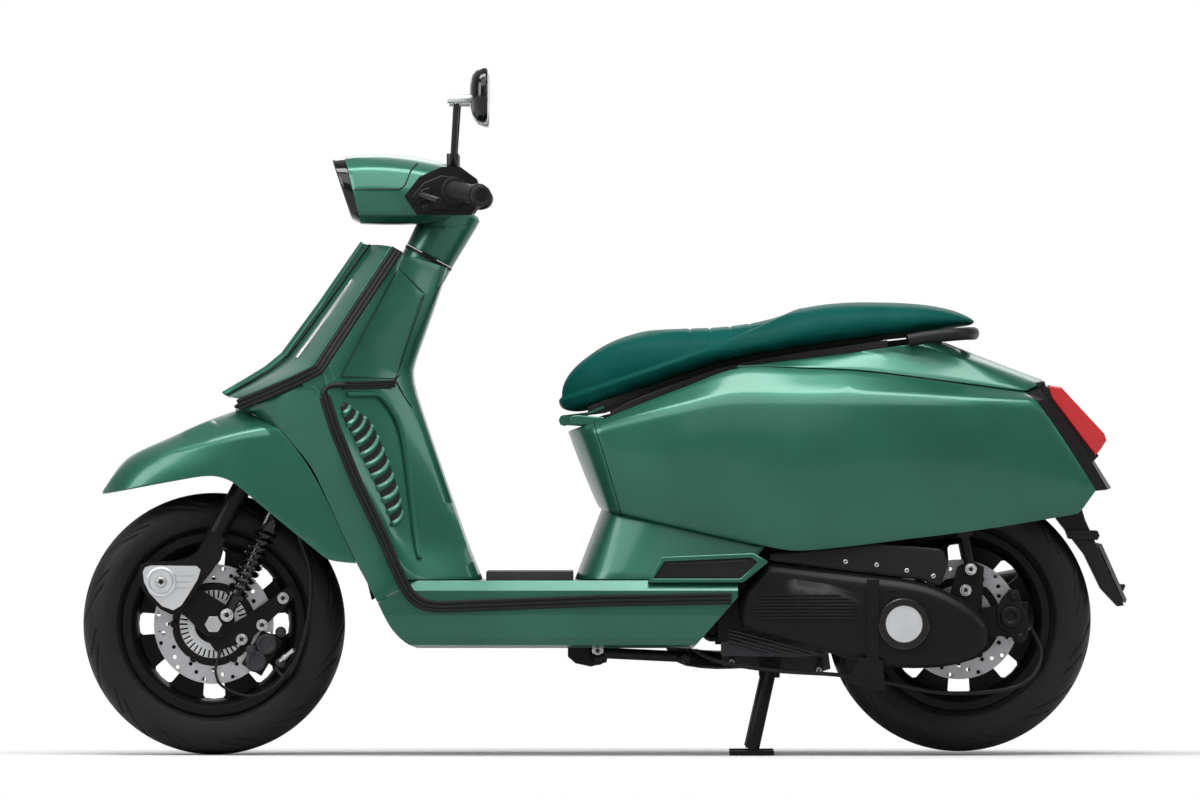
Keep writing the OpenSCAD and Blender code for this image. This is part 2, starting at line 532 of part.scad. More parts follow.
// Point on the rider's side of the shield, t down from the trim and f from the step to the foot.
function vent(t, f) = let (n = 60, s = straight([for (i = [3:7]) step_line[i]], n),
  v = straight([for (i = [3:7]) foot_line[i]], n), k = round(n * (0.03 + 0.82 * t)))
  fr([s[k] * (1 - f) + v[k] * f])[0];
function vent_rear(t) = t < 0.16 ? 0.72 + 1.5 * t : 0.96 - 0.5 * pow((t - 0.16) / 0.84, 2);
vent_n = unit(cross(vent(1, 0) - vent(0, 0), vent(0, 1) - vent(0, 0)));
module inner_shield() {
  e = concat(shift([for (i = [0:2]) face_edge[i]], [-17, 0, -9]),
    shift([for (i = [0:3]) shield_edge[i]], [-14, 0.2, -5]), [[-352, hf - 4, floor_h + 2]]);
  border = concat([for (f = [0.04, 0.4, 0.74]) vent(0, f) + vent_n * 1 + (vent(0, 0) - vent(0.05, 0))],
    [for (t = [0.12, 0.3, 0.5, 0.7, 0.85, 1])
      vent(t, vent_rear(t) + (t < 0.3 ? 0.13 : 0.1)) + vent_n * 1.2]);
  color([0.06, 0.28, 0.22]) {
    lines = [e, step_line, foot_line, corner_line, back_line];
    shell([for (q = turn([for (l = lines) straight(fr(l), 14)])) full(q)], wall);
    both() sweep(border, [[-6, 0], [-4, 5], [2, 5], [5, 0]], vent_n);
  }
}
module side_vents() {
  n = vent_n;
  g = [for (t = [0, 0.16, 0.4, 0.7, 1]) [for (f = [0.05, vent_rear(t)]) vent(t, f) + n * 4]];
  color([0.03, 0.03, 0.03]) both() {
    shell(g, 3.4);
    for (k = [0:louvres - 1]) let (t = 0.03 + 0.84 * k / (louvres - 1), e = vent_rear(t + 0.09) - 0.07,
      q = [for (u = [0, 0.34, 0.7, 1]) vent(t + 0.03 * u + 0.07 * u * u, 0.1 + (e - 0.1) * u) + n * 3.5])
      sweep(q, [[-4, 0], [-2, 5], [1, 7], [3, 0]], n);
  }
}
module front_indicators() {
  color([0.85, 0.85, 0.85]) both() hull() for (q = [[-256, hs * 0.63, 842], [-240, hs * 0.67, 816],
    [-172, hs * 0.82, 722], [-164, hs * 0.78, 722]])
    translate(fr([q])[0] + [16, 2, 6]) sphere(r = 5, $fn = 14);
}
module wheel_well() {
  r = zf + 56;
  arc = concat([for (i = [0:6]) let (t = 150 + 3 * i) [xf + r * cos(t), zf + r * sin(t)]],
    [[xf - 290, floor_h - 34]]);
  color([0.04, 0.04, 0.04]) shell([for (i = [0:7]) let (w = hs * min(0.876,
    0.858 + 0.0036 * i)) [for (y = [w, w / 2, 0, -w / 2, -w]) [arc[i][0], y, arc[i][1]]]], wall);
}

// Floor
floor_x0 = xf - 290;
floor_x1 = xr + 400;
// Half section of the floor and its sill, outer face first.
sill = [[hf - 14, floor_h], [hf, floor_h - 18], [hf, floor_h - 62], [hf - 8, floor_h - 102],
  [hf - 20, floor_h - 116], [hf - 60, floor_h - 122]];
sill_in = [[hf - 60, floor_h - 118], [hf - 23, floor_h - 113], [hf - 13, floor_h - 100],
  [hf - 6, floor_h - 60], [hf - 6, floor_h - 20], [hf - 16, floor_h - 6]];
module floor_board() {
  half = concat(sill, sill_in);
  color([0.06, 0.28, 0.22]) difference() {
    intersection() {
      translate([floor_x1, 0, 0]) rotate([90, 0, 90]) linear_extrude(floor_x0 - floor_x1)
        polygon(concat(half, [for (i = [len(half) - 1:-1:0]) [-half[i][0], half[i][1]]]));
      plate(concat([[xf - 350, floor_h + 14], [floor_x1, floor_h + 14], [floor_x1, floor_h - 30],
        [floor_x1 + 84, floor_h - 126]],
        curve([[xf - 400, floor_h - 126], [xf - 372, floor_h - 123], [xf - 346, floor_h - 111],
          [xf - 324, floor_h - 89], [xf - 309, floor_h - 64], [xf - 297.6, floor_h - 40]], 15),
        [[xf - 344.6, floor_h - 14], [xf - 350, floor_h - 11]]), -300, 300);
    }
    translate([floor_x1 - 1, 40 - hf, floor_h - 40]) cube([xr + 655 - floor_x1, floor_w - 80, 60]);
    translate([xf - 466, -70, floor_h - 40]) cube([200, 140, 60]);
  }
}
module floor_mat() {
  color([0.05, 0.05, 0.05]) translate([xr + 696, -hf + 22, floor_h]) cube([xf - 492 - xr - 696,
    floor_w - 44, mat_t]);
}

// Rear bodywork
kb = hb / 212;
// Heights of the rear bodywork are drawn for a floor at 316 and a seat at 774, and follow both.
base_z = floor_h + 54;
function lift(z) = z < 370 ? z + floor_h - 316 : base_z + (z - 370) * (seat_h - base_z) / 404;
function wide(v) = [for (p = v) [xr + p[0], p[1] * kb, lift(p[2])]];
function rl(v) = [for (p = v) [xr + p[0], p[1], lift(p[2])]];
function rl2(v) = [for (p = v) [xr + p[0], lift(p[1])]];
// Lines along the left side panel, front to rear.
panel_top = wide([[658, 112, 600], [560, 130, 640], [480, 142, 670], [399, 150, 700], [290, 150, 697],
  [179, 146, 693], [30, 126, 674], [-119, 98, 655]]);
panel_up = wide([[656, 134, 590], [560, 170, 618], [480, 188, 634], [413, 196, 644], [290, 200, 646],
  [106, 184, 648], [-20, 160, 645], [-138, 124, 640]]);
panel_mid = wide([[640, 142, 542], [550, 182, 552], [480, 200, 562], [413, 208, 568], [290, 212, 566],
  [106, 197, 566], [-60, 165, 570], [-186, 120, 574]]);
panel_low = wide([[616, 146, 460], [530, 180, 442], [450, 195, 433], [380, 204, 424], [287, 208, 416],
  [106, 191, 430], [-80, 157, 454], [-246, 112, 478]]);
panel_bot = wide([[610, 138, 436], [540, 164, 420], [450, 180, 399], [332, 190, 374], [269, 190, 370],
  [106, 176, 389], [-47, 152, 408], [-216, 106, 436]]);
panel_lines = [panel_top, panel_up, panel_mid, panel_low, panel_bot];
module side_panels() {
  color([0.06, 0.28, 0.22]) both() shell(backward(rows(panel_lines, 14)), wall);
}
module seat_cowl() {
  edge = [for (l = panel_lines) l[0] + [1.8, -0.8, 0]];
  side = wide([[690, 84, 590], [688, 92, 582], [672, 98, 538], [645, 106, 464], [636, 108, 440]]);
  mid = wide([[707, 0, 582], [704, 0, 574], [690, 0, 536], [662, 0, 468], [652, 0, 450]]);
  color([0.06, 0.28, 0.22]) shell(turn(backward([edge, shift((edge + side) / 2, [4, 3, 0]), side,
    shift((side + mid) / 2, [4, 0, 0]), mid,
    [for (p = (side + mid) / 2) flip(p) + [4, 0, 0]], [for (p = side) flip(p)],
      [for (p = (edge + side) / 2) flip(p) + [4, -3, 0]], [for (p = edge) flip(p)]])), wall);
}
module lower_panels() {
  z = floor_h + clear + 1.6;
  top = wide([[352, 176, 378], [450, 164, 406], [540, 150, 428], [596, 124, 441], [628, 97, 446],
    [643, 0, 456]]);
  low = wide([[396, 182, 0], [460, 180, 0], [560, 174, 0], [640, 158, 0], [684, 104, 0], [694, 0, 0]]);
  base = [for (p = low) [p[0], p[1], z]];
  color([0.06, 0.28, 0.22]) shell(backward([for (c = [top, (top + base) / 2, base]) full(curve(c, 10))]),
    wall);
}
module footpegs() {
  color([0.04, 0.04, 0.04]) both() plate(rl2([[552, 320], [532, 350], [376, 357], [364, 349], [396, 320]]),
    182 * kb + clear, 182 * kb + 14);
}
module tail_panel() {
  c = curve(panel_top, 14);
  out = concat(shift([for (i = [6:14]) c[i]], [0, -1.6, 2.6]),
    wide([[-140, 74, 667], [-150, 40, 675], [-153, 0, 678]]));
  mid = concat(curve(wide([[404, 136, 701], [290, 132, 714], [179, 126, 722], [70, 110, 718],
    [-50, 84, 700]]), 8), wide([[-84, 54, 697], [-92, 28, 698], [-94, 0, 699]]));
  inn = concat(curve(wide([[402, 124, 698], [290, 121, 714], [179, 118, 728], [110, 117, 738],
    [70, 104, 744]]), 8), wide([[42, 66, 745], [28, 34, 745], [24, 0, 745]]));
  color([0.06, 0.28, 0.22]) shell([for (q = [out, mid, inn]) backward(full(q))], wall);
}
module tail_bezel() {
  edge = [for (l = [panel_top, panel_up, panel_mid, panel_low]) l[len(l) - 1] + [-1.2, -wall - 0.6, 0]];
  side = wide([[-146, 76, 662], [-160, 92, 642], [-214, 88, 572], [-268, 84, 480]]);
  mid = wide([[-156, 0, 670], [-166, 0, 644], [-220, 0, 572], [-276, 0, 482]]);
  color([0.04, 0.04, 0.04]) shell(turn([edge, side, mid, [for (p = side) flip(p)],
    [for (p = edge) flip(p)]]), wall);
}
module tail_lamp() {
  color([0.55, 0.03, 0.03]) plate(rl2([[-160, 668], [-184, 664], [-262, 580], [-266, 568], [-256, 552],
    [-246, 540], [-221, 572], [-167, 644]]), -74 * kb, 74 * kb);
}
// Hinge of the seat and the line of its underside.
hinge = [xr + 712, 0, lift(604)];
seat_st = [for (q = [[727, 40, 628, 672], [702, 62, 617, 708], [670, 82, 619, 732], [639, 98, 632, 753],
  [585, 118, 650, 771], [510, 134, 678, 775], [431, 145, 706, 776],
  [359, 148, 722, 786], [287, 144, 734, 807], [215, 138, 744, 816], [130, 128, 756, 818],
    [52, 116, 764, 816], [-2, 96, 772, 802], [-34, 70, 778, 788]]) [q[0], q[1], lift(q[2]), lift(q[3])]];
function under(i, d) = [xr + seat_st[i][0], seat_st[i][2] - d];
module seat() {
  k = seat_w / 296;
  color([0.01, 0.3, 0.27]) loft([for (q = seat_st)
    let (x = xr + q[0], w = q[1] * k, a = q[2], b = q[3], h = b - a)
    backward([[x, -w * 0.88, a], [x, -w, a + h * 0.36], [x, -w * 0.9, b - h * 0.2],
      [x, -w * 0.6, b - h * 0.04], [x, 0, b], [x, w * 0.6, b - h * 0.04], [x, w * 0.9, b - h * 0.2],
    [x, w, a + h * 0.36], [x, w * 0.88, a]])]);
}
pan_t = 6;
module seat_pan() {
  y = 78;
  hinge2 = [hinge[0], hinge[2]];
  color([0.04, 0.04, 0.04]) difference() {
    union() {
      plate(concat([for (i = [2:11]) under(i, clear)], [for (i = [11:-1:2]) under(i, clear + pan_t)]), -y,
        y);
      plate([under(2, clear + pan_t), under(2, clear), hinge2 + [-4, 10], hinge2 + [8, 7], hinge2 + [8, 0],
        hinge2 + [-10, 0], hinge2 + [-12, 4]], -30, 30);
      pin(hinge[0], hinge[2], 10, -30, 30);
    }
    pin(hinge[0], hinge[2], 5 + clear, -40, 40);
  }
}
bucket_y = 112;
module storage_bucket() {
  rim = [for (i = [4:10]) under(i, clear + pan_t + 0.8)];
  front = [xr + 630, lift(626) - pan_t];
  color([0.05, 0.05, 0.05]) {
    difference() {
      plate(concat([front], rim, rl2([[122, 600], [272, 566], [296, 436], [596, 436]])), -bucket_y,
        bucket_y);
      plate(concat([front + [-4, 20]], [for (p = rim) p + [0, 20]],
        shift(rl2([[126, 600], [275, 566], [299, 436], [593, 436]]), [0, 4])), 4 - bucket_y, bucket_y - 4);
    }
    both() plate([[xr + 624, hinge[2] - 14], [xr + 624, hinge[2] + 6], [hinge[0] + 8, hinge[2] + 8],
      [hinge[0] + 8, hinge[2] - 8], [xr + 660, hinge[2] - 12]], 30 + clear, 38);
    pin(hinge[0], hinge[2], 5, -36, 36);
  }
}
module grab_rail() {
  path = curve(rl([[92, 122, 748], [60, 122, 754], [10, 116, 759], [-16, 92, 761], [-26, 48, 761],
    [-28, 0, 761]]), 10);
  color([0.05, 0.05, 0.05]) sweep(concat(path, [for (i = [9:-1:0]) flip(path[i])]),
    [for (i = [0:11]) [10 * cos(-30 * i), 12 * sin(-30 * i)]], [0, 0, 1]);
}
module rear_mudguard() {
  top = rl2([[-204, 532], [-236, 520]]);
  flap = rr2([for (p = [[-214, 225], [-228, 179], [-294, 35], [-298, 25], [-286, 23], [-256, 55],
    [-226, 117], [-176, 181], [-176, 225]]) [p[0], zr + p[1]]]);
  color([0.04, 0.04, 0.04]) plate(concat(top, flap), -58, 58);
}

// Engine
module engine() {
  color([0.3, 0.3, 0.3]) difference() {
    union() {
      plate(rr2([[262, 200], [262, 330], [300, 352], [430, 352], [440, 300], [440, 200]]), -112, 92);
      plate(rr2([[439, 210], [439, 320], [560, 310], [560, 220]]), -62, 58);
      plate(rr2([[436, 206], [436, 300], [340, 322], [262, 300], [60, 290], [-26, 272], [-44, 240],
        [-30, 206], [10, 192], [200, 192], [300, 202]]), 90, 132);
      plate(rr2([[0, 260], [-20, 262], [-100, 276], [-124, 262], [-124, 216], [-40, 214]]), 92, 102);
      plate(rr2([[20, 280], [4, 340], [-20, 352], [-44, 340], [-40, 262]]), 104, 120);
      plate(rr2([[300, 320], [262, 318], [60, 286], [4, 340], [-20, 352], [-44, 340], [-44, 230],
        [-26, 206], [26, 206], [262, 224], [300, 216]]), -98, -82);
      both() plate(rr2([[stand_dx - 22, 202], [stand_dx + 22, 202], [stand_dx + 18, 140],
        [stand_dx - 18, 140]]), 84, 92);
      plate(rr2([[430, 210], [452, 214], [470, 226], [452, 238], [430, 240]]), -56, 52);
    }
    pin(xr, zr, axle_d / 2 + clear, -120, 140);
    pin(xr + stand_dx, stand_z, stand_d / 2 + clear, -120, 120);
    for (y = [[104, 120], [-98, -82]]) pin(xr - 20, 336, 6 + clear, y[0] - 4, y[1] + 4);
  }
}
cover_pts = [[350, 350], [256, 338], [152, 325], [70, 316], [16, 294], [-30, 266], [-52, 236], [-50, 200],
  [-30, 176], [25, 157], [143, 157], [215, 180], [392, 229], [402, 280]];
// Outline moved in by d along its normals, for a crown.
function inset(v, d) = let (n = len(v))
  [for (i = [0:n - 1]) let (t = unit(v[(i + 1) % n] - v[(i + n - 1) % n])) v[i] + d * [-t[1], t[0]]];
module cvt_cover() {
  color([0.12, 0.12, 0.12]) loft([for (q = [[0, 132 + clear], [0, cover_y - 22], [6, cover_y - 9],
    [16, cover_y - 2], [26, cover_y]])
    [for (p = inset(rr2(cover_pts), q[0])) [p[0], q[1], p[1]]]]);
}
cap_x = xr + 101;
cap_z = 238;
module clutch_cap() {
  color([0.7, 0.7, 0.7]) difference() {
    pin(cap_x, cap_z, cap_d / 2, cover_y + clear, cover_y + 8);
    difference() {
      pin(cap_x, cap_z, cap_d / 2 - 4, cover_y + 6, cover_y + 10);
      pin(cap_x, cap_z, cap_d / 2 - 7, cover_y + 5, cover_y + 11);
    }
  }
}
module oil_sump() {
  color([0.6, 0.6, 0.6]) difference() {
    union() {
      plate(rr2([[428, 200 - clear], [262, 200 - clear], [236, 186], [232, 156], [250, 150], [300, 152],
        [428, 166]]), -60, 80);
      for (k = [0:fins - 1]) let (z = 196 - 4 * k) plate(rr2([[427, z], [427, z - 2], [246, z - 17],
        [246, z - 15]]), 79, 83);
    }
    pin(xr + stand_dx, stand_z, stand_d / 2 + 5, -120, 120);
  }
}
module air_box() {
  color([0.05, 0.05, 0.05]) plate(rr2([[344, 350.4], [256, 338.4], [152, 325.6], [70, 316.6], [36, 304],
    [20, 346], [30, 372], [160, 384], [262, 374], [344, 366]]), 133, 172);
}
module exhaust() {
  a = [xr + 216, -176, 214];
  b = [xr - 130, -176, 280];
  color([0.1, 0.1, 0.1]) {
    rod(a, b, muffler_d / 2);
    rod(b - unit(b - a) * 2, b + unit(b - a) * 12, muffler_d / 2 - 14);
    hose(concat(curve([a + [-4, 0, 0], a + [26, 0, -12], [xr + 320, -150, 178], [xr + 420, -110, 170],
      [xr + 490, -60, 176], [xr + 512, -34, 194]], 14),
      [[xr + 512, -34, 204], [xr + 512, -34, 214]]), 17, [1, 0.2, 0]);
  }
}
module rear_shocks() {
  color([0.1, 0.1, 0.1]) for (y = [131, -112]) {
    b = [xr - 20, y, 336];
    e = [xr + 36, y, lift(612)];
    d = unit(e - b);
    pin(b[0], b[2], 6, y > 0 ? 106 : y, y > 0 ? y : -84);
    pin(b[0], b[2], 13, y > 0 ? 120 + clear : -126, y > 0 ? 142 : -98 - clear);
    rod(b + d * 6, e, 10);
    rod(b + (e - b) * 0.213, b + (e - b) * 0.817, 20);
  }
}
module rear_caliper() {
  color([0.1, 0.1, 0.1]) difference() {
    axle_frame(xr, zr) translate([-124, -32, 40]) cube([46, 64, 52 - clear]);
    axle_frame(xr, zr) translate([0, 0, disc_y - 2]) cylinder(r = disc_d / 2 + 4, h = disc_t + 4, $fn = 72);
  }
}
module rear_axle() {
  color([0.5, 0.5, 0.5]) axle_frame(xr, zr) {
    translate([0, 0, -104]) cylinder(r = axle_d / 2, h = 234, $fn = 32);
    translate([0, 0, -112]) cylinder(r = 16, h = 14 - clear, $fn = 6);
  }
}
module splash_guard() {
  color([0.04, 0.04, 0.04]) {
    plate(rr2([[168, 318], [146, 318], [146, 170], [168, 170]]), cover_y + clear, cover_y + 4);
    plate(rr2([[182, 176], [139, 172], [135, 117], [204, 132]]), cover_y + clear, cover_y + 4);
  }
}
module rear_cable() {
  color([0.04, 0.04, 0.04]) hose(curve(rr([[-131, 66, 226], [-150, 74, 180], [-110, 110, 124],
    [20, 140, 112], [110, 152, 128], [215, 154, 146], [320, 154, 152], [430, 150, 168], [476, 140, 190]]),
    20), 4);
}

// Stands
side_p = [xr + 652, 108, floor_h - 134];
side_d = [0, 0.933, 0.36];
module side_stand() {
  color([0.05, 0.05, 0.05]) {
    rod(side_p, side_p + side_d * 20, 14);
    rod(side_p + side_d * 10, side_p + side_d * 10 + [-side_leg, 8, -8], side_leg_d / 2);
    rod(side_p + side_d * 10 + [-side_leg + 20, 7, -7], side_p + side_d * 10 + [-side_leg + 10, 26, -10],
      7);
  }
}
stand_dx = 342;
stand_z = 157;
module centre_stand() {
  p = [xr + stand_dx, 0, stand_z];
  color([0.05, 0.05, 0.05]) {
    pin(p[0], p[2], stand_d / 2, -106, 106);
    both() {
      rod(p + [0, 104, 0], [p[0] + 32, stand_w / 2, stand_d / 2], stand_d / 2);
      translate([p[0] + 32 - 40, stand_w / 2 - 14, 0]) cube([80, 28, 9]);
    }
  }
}

// Frame
module frame() {
  rail_y = bucket_y + 11 + clear;
  tube_z = floor_h - 76;
  color([0.05, 0.05, 0.05]) {
    stem_frame() difference() {
      translate([0, 0, 700]) cylinder(r = stem_d / 2 + 12, h = 312, $fn = 32);
      translate([0, 0, 690]) cylinder(r = stem_d / 2 + clear, h = 340, $fn = 32);
    }
    difference() {
      rod([xf - 296, 0, 690], [xf - 404, 0, tube_z + 28], 24);
      stem_frame() translate([0, 0, 600]) cylinder(r = stem_d / 2 + 8, h = 400, $fn = 32);
    }
    rod([xf - 400, -104, tube_z + 44], [xf - 400, 104, tube_z + 44], 18);
    both() {
      rod([xf - 396, 90, tube_z + 50], [xf - 432, 90, tube_z - 12], 16);
      rod([xf - 420, 90, tube_z], [xr + 462, 90, tube_z], 19);
      rod([xr + 480, 92, tube_z - 6], [xr + 478, rail_y, lift(418)], 15);
      rod([xr + 486, rail_y, lift(400)], [xr + 292, rail_y, lift(620)], 11);
      rod([xr + 312, rail_y, lift(611)], [xr + 100, rail_y, lift(626)], 10.6);
      rod([xr + 116, rail_y, lift(625)], [xr - 90, rail_y - 20, lift(640)], 10.2);
      plate([[side_p[0] + 32, tube_z], [side_p[0] - 32, tube_z], [side_p[0] - 16, side_p[2] - 14],
        [side_p[0], side_p[2] - 18], [side_p[0] + 16, side_p[2] - 14]], 82, 94);
      rod(side_p - side_d * 20, side_p - side_d * clear, 13);
    }
  }
}

frame();
front_fender();
front_apron();
center_tie();
shield_trim();
leg_shield();
inner_shield();
side_vents();
front_indicators();
wheel_well();
floor_board();
floor_mat();
seat_cowl();
lower_panels();
footpegs();
side_panels();
tail_panel();
tail_bezel();
tail_lamp();
storage_bucket();
grab_rail();
rear_mudguard();
engine();
cvt_cover();
clutch_cap();
oil_sump();
air_box();
exhaust();
rear_shocks();
rear_caliper();
rear_axle();
splash_guard();
rear_cable();
seat();
seat_pan();
side_stand();
centre_stand();
rear_tyre();
rear_rim();
rear_disc();
fork();
front_links();
link_covers();
front_shocks();
front_axle();
front_caliper();
nacelle();
steering_neck();
headlamp();
handlebar();
grips();
switch_gear();
levers();
mirrors();
front_hose();
front_tyre();
front_rim();
front_disc();
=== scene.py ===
import math

import bmesh
import bpy
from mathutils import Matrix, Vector
from mathutils.bvhtree import BVHTree


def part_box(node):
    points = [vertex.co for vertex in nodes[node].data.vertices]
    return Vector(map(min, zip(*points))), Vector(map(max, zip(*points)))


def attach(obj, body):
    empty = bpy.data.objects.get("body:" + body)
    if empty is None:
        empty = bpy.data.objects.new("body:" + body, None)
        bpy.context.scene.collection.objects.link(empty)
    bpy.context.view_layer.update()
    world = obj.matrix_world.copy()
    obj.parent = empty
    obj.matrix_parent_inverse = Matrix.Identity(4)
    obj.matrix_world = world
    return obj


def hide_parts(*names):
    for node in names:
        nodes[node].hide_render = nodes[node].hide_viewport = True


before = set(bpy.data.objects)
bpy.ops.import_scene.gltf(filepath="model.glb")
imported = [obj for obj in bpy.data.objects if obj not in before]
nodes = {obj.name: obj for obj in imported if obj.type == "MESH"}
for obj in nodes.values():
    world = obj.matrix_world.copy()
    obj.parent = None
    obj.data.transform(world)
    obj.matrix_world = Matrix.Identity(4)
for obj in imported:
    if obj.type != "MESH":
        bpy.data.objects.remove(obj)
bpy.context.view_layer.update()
scene = bpy.context.scene
print("stage: frame loaded,", len(nodes), "nodes")

# axles, read from the tyres so that every point below can be given from one of them, in mm
frontAxle = sum(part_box("front_tyre"), Vector()) / 2 * 1000
rearAxle = sum(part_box("rear_tyre"), Vector()) / 2 * 1000


def atFront(x, y, z):
    return Vector((frontAxle.x + x, y, z))


def atRear(x, y, z):
    return Vector((rearAxle.x + x, y, z))


def fromFront(points):
    return [atFront(*p) for p in points]


def fromRear(points):
    return [atRear(*p) for p in points]


# materials

def hexLinear(code):
    parts = [int(code[i:i + 2], 16) / 255 for i in (1, 3, 5)]
    return tuple(c / 12.92 if c <= 0.04045 else ((c + 0.055) / 1.055) ** 2.4 for c in parts) + (1.0,)


def addNode(tree, kind, inputs=None, **settings):
    made = tree.nodes.new(kind)
    for key, value in settings.items():
        setattr(made, key, value)
    for key, value in (inputs or {}).items():
        if isinstance(value, bpy.types.NodeSocket):
            tree.links.new(value, made.inputs[key])
        else:
            made.inputs[key].default_value = value
    return made


def startMaterial(name, **sockets):
    made = bpy.data.materials.new(name)
    made.use_nodes = True
    tree = made.node_tree
    tree.nodes.clear()
    shader = addNode(tree, "ShaderNodeBsdfPrincipled", sockets)
    addNode(tree, "ShaderNodeOutputMaterial", {"Surface": shader.outputs[0]})
    place = addNode(tree, "ShaderNodeTexCoord").outputs["Object"]
    return made, tree, shader, place


def perMetre(mm):
    return 1000.0 / mm


# two-coat metallic paint, sprayed: fine flake under a satin clear coat, so highlights spread wide;
# real flake is too fine to show, so it is drawn coarser
paint = {"deep": "#1a4c3d", "bright": "#26614f", "deepAt": 0.3, "brightAt": 0.7, "flakeMm": 0.9,
         "cloudMm": 160, "metal": 0.5, "roughness": 0.36, "shine": 0.3, "coat": 0.35, "coatRoughness": 0.12,
         "peel": 0.03, "peelMm": 0.2}
greenPaint, tree, shader, place = startMaterial("metallic_paint_green", Metallic=paint["metal"],
                                                Roughness=paint["roughness"])
shader.inputs["Specular IOR Level"].default_value = paint["shine"]
shader.inputs["Coat Weight"].default_value = paint["coat"]
shader.inputs["Coat Roughness"].default_value = paint["coatRoughness"]
flakes = {"Vector": place, "Scale": perMetre(paint["flakeMm"]), "Detail": 1.0}
clouds = {"Vector": place, "Scale": perMetre(paint["cloudMm"]), "Detail": 2.0}
flake = addNode(tree, "ShaderNodeTexNoise", flakes)
cloud = addNode(tree, "ShaderNodeTexNoise", clouds)
both = addNode(tree, "ShaderNodeMath", {0: flake.outputs[0], 1: cloud.outputs[0]}, operation="ADD")
mean = addNode(tree, "ShaderNodeMath", {0: both.outputs[0], 1: 0.5}, operation="MULTIPLY")
ramp = addNode(tree, "ShaderNodeValToRGB", {"Fac": mean.outputs[0]})
for k, tone in enumerate(("deep", "bright")):
    ramp.color_ramp.elements[k].position = paint[tone + "At"]
    ramp.color_ramp.elements[k].color = hexLinear(paint[tone])
tree.links.new(ramp.outputs[0], shader.inputs["Base Color"])
peels = {"Height": flake.outputs[0], "Strength": paint["peel"], "Distance": paint["peelMm"] / 1000}
peel = addNode(tree, "ShaderNodeBump", peels)
tree.links.new(peel.outputs[0], shader.inputs["Normal"])


def mottled(name, dark, light, grainMm, rough, bump, metallic=0.0, coat=0.0, shine=0.5, stretch=(1, 1, 1),
            coatRough=0.15, cloudGrains=40, reliefShare=0.25):
    # a moulded, cast or ground face: two close tones in wide clouds, and a grain in gloss and relief,
    # drawn coarser than life where the real one is too fine to show
    made, tree, shader, place = startMaterial(name, Metallic=metallic)
    shader.inputs["Specular IOR Level"].default_value = shine
    shader.inputs["Coat Weight"].default_value = coat
    shader.inputs["Coat Roughness"].default_value = coatRough
    pulled = addNode(tree, "ShaderNodeMapping", {"Vector": place, "Scale": stretch})
    grains = {"Vector": pulled.outputs[0], "Scale": perMetre(grainMm), "Detail": 4.0}
    clouds = {"Vector": place, "Scale": perMetre(grainMm * cloudGrains), "Detail": 2.0}
    grain = addNode(tree, "ShaderNodeTexNoise", grains).outputs[0]
    cloud = addNode(tree, "ShaderNodeTexNoise", clouds).outputs[0]
    tones = {"Factor": cloud, 6: hexLinear(dark), 7: hexLinear(light)}
    tone = addNode(tree, "ShaderNodeMix", tones, data_type="RGBA")
    gloss = addNode(tree, "ShaderNodeMapRange", {"Value": grain, "To Min": rough[0], "To Max": rough[1]})
    reliefs = {"Height": grain, "Strength": bump, "Distance": grainMm * reliefShare / 1000}
    relief = addNode(tree, "ShaderNodeBump", reliefs)
    tree.links.new(tone.outputs[2], shader.inputs["Base Color"])
    tree.links.new(gloss.outputs[0], shader.inputs["Roughness"])
    tree.links.new(relief.outputs[0], shader.inputs["Normal"])
    return made


# plastics, moulded: an even grain, dull unless polished in the mould
# the black moulded plastic also serves as painted shade: the dark fillers and cores that close the gaps
# inside the body take it
blackAbsAndShade = mottled("abs_black_moulded_and_painted_shade", "#0f0f11", "#18181a", 1.4, (0.38, 0.56), 0.25, shine=0.2)
greyAbs = mottled("abs_grey_moulded", "#46484a", "#56585a", 1.4, (0.4, 0.56), 0.2, shine=0.3)
glossBlack = mottled("acrylic_black_gloss", "#08090a", "#0e0f10", 4.0, (0.08, 0.14), 0.02, shine=0.35)
# rubbers, extruded and moulded: soft and nearly matt
ribRubber = mottled("rubber_black_extruded", "#121314", "#1b1c1d", 1.6, (0.45, 0.6), 0.2, shine=0.18)
matRubber = mottled("rubber_mat_black", "#1c1c1e", "#29292c", 1.8, (0.6, 0.8), 0.35, shine=0.3)
tyreRubber = mottled("tyre_rubber_moulded", "#121214", "#1b1b1d", 2.4, (0.5, 0.68), 0.25, shine=0.22)
# metals: black enamel and bare sand casting keep the casting's grain, the others show how they were finished
blackEnamel = mottled("enamel_black_on_casting", "#0b0b0d", "#141416", 2.0, (0.32, 0.46), 0.14, shine=0.14)
greyAlloy = mottled("aluminium_sand_cast", "#2a2b2d", "#3c3d40", 1.8, (0.42, 0.62), 0.35, metallic=0.6)
silverAlloy = mottled("aluminium_brushed", "#bcbec0", "#d8d9db", 1.2, (0.28, 0.44), 0.12, metallic=0.75,
                      stretch=(0.06, 1, 1))
discSteel = mottled("steel_ground", "#a2a3a6", "#b8b9bb", 1.2, (0.3, 0.46), 0.12, metallic=0.7)
boltSteel = mottled("steel_zinc_plated", "#b4b5b7", "#cccdce", 0.9, (0.2, 0.3), 0.03, metallic=0.8)
# lenses and glass: smooth under a clear coat, with the reflector's brightness in the base
lampRed = mottled("acrylic_red", "#9c0f16", "#b8141c", 3.0, (0.08, 0.14), 0.02, coat=1.0)
lampClear = mottled("polycarbonate_clear_over_reflector", "#c8ccd0", "#e2e5e8", 4.0, (0.05, 0.1), 0.02,
                    metallic=0.6, coat=1.0)
lampSilver = mottled("polycarbonate_smoked", "#8d9092", "#a9acae", 3.0, (0.12, 0.2), 0.02,
                     metallic=0.5, coat=0.8)
mirrorGlass = mottled("glass_silvered", "#c4c8cb", "#d6d9dc", 6.0, (0.02, 0.04), 0.0, metallic=1.0)

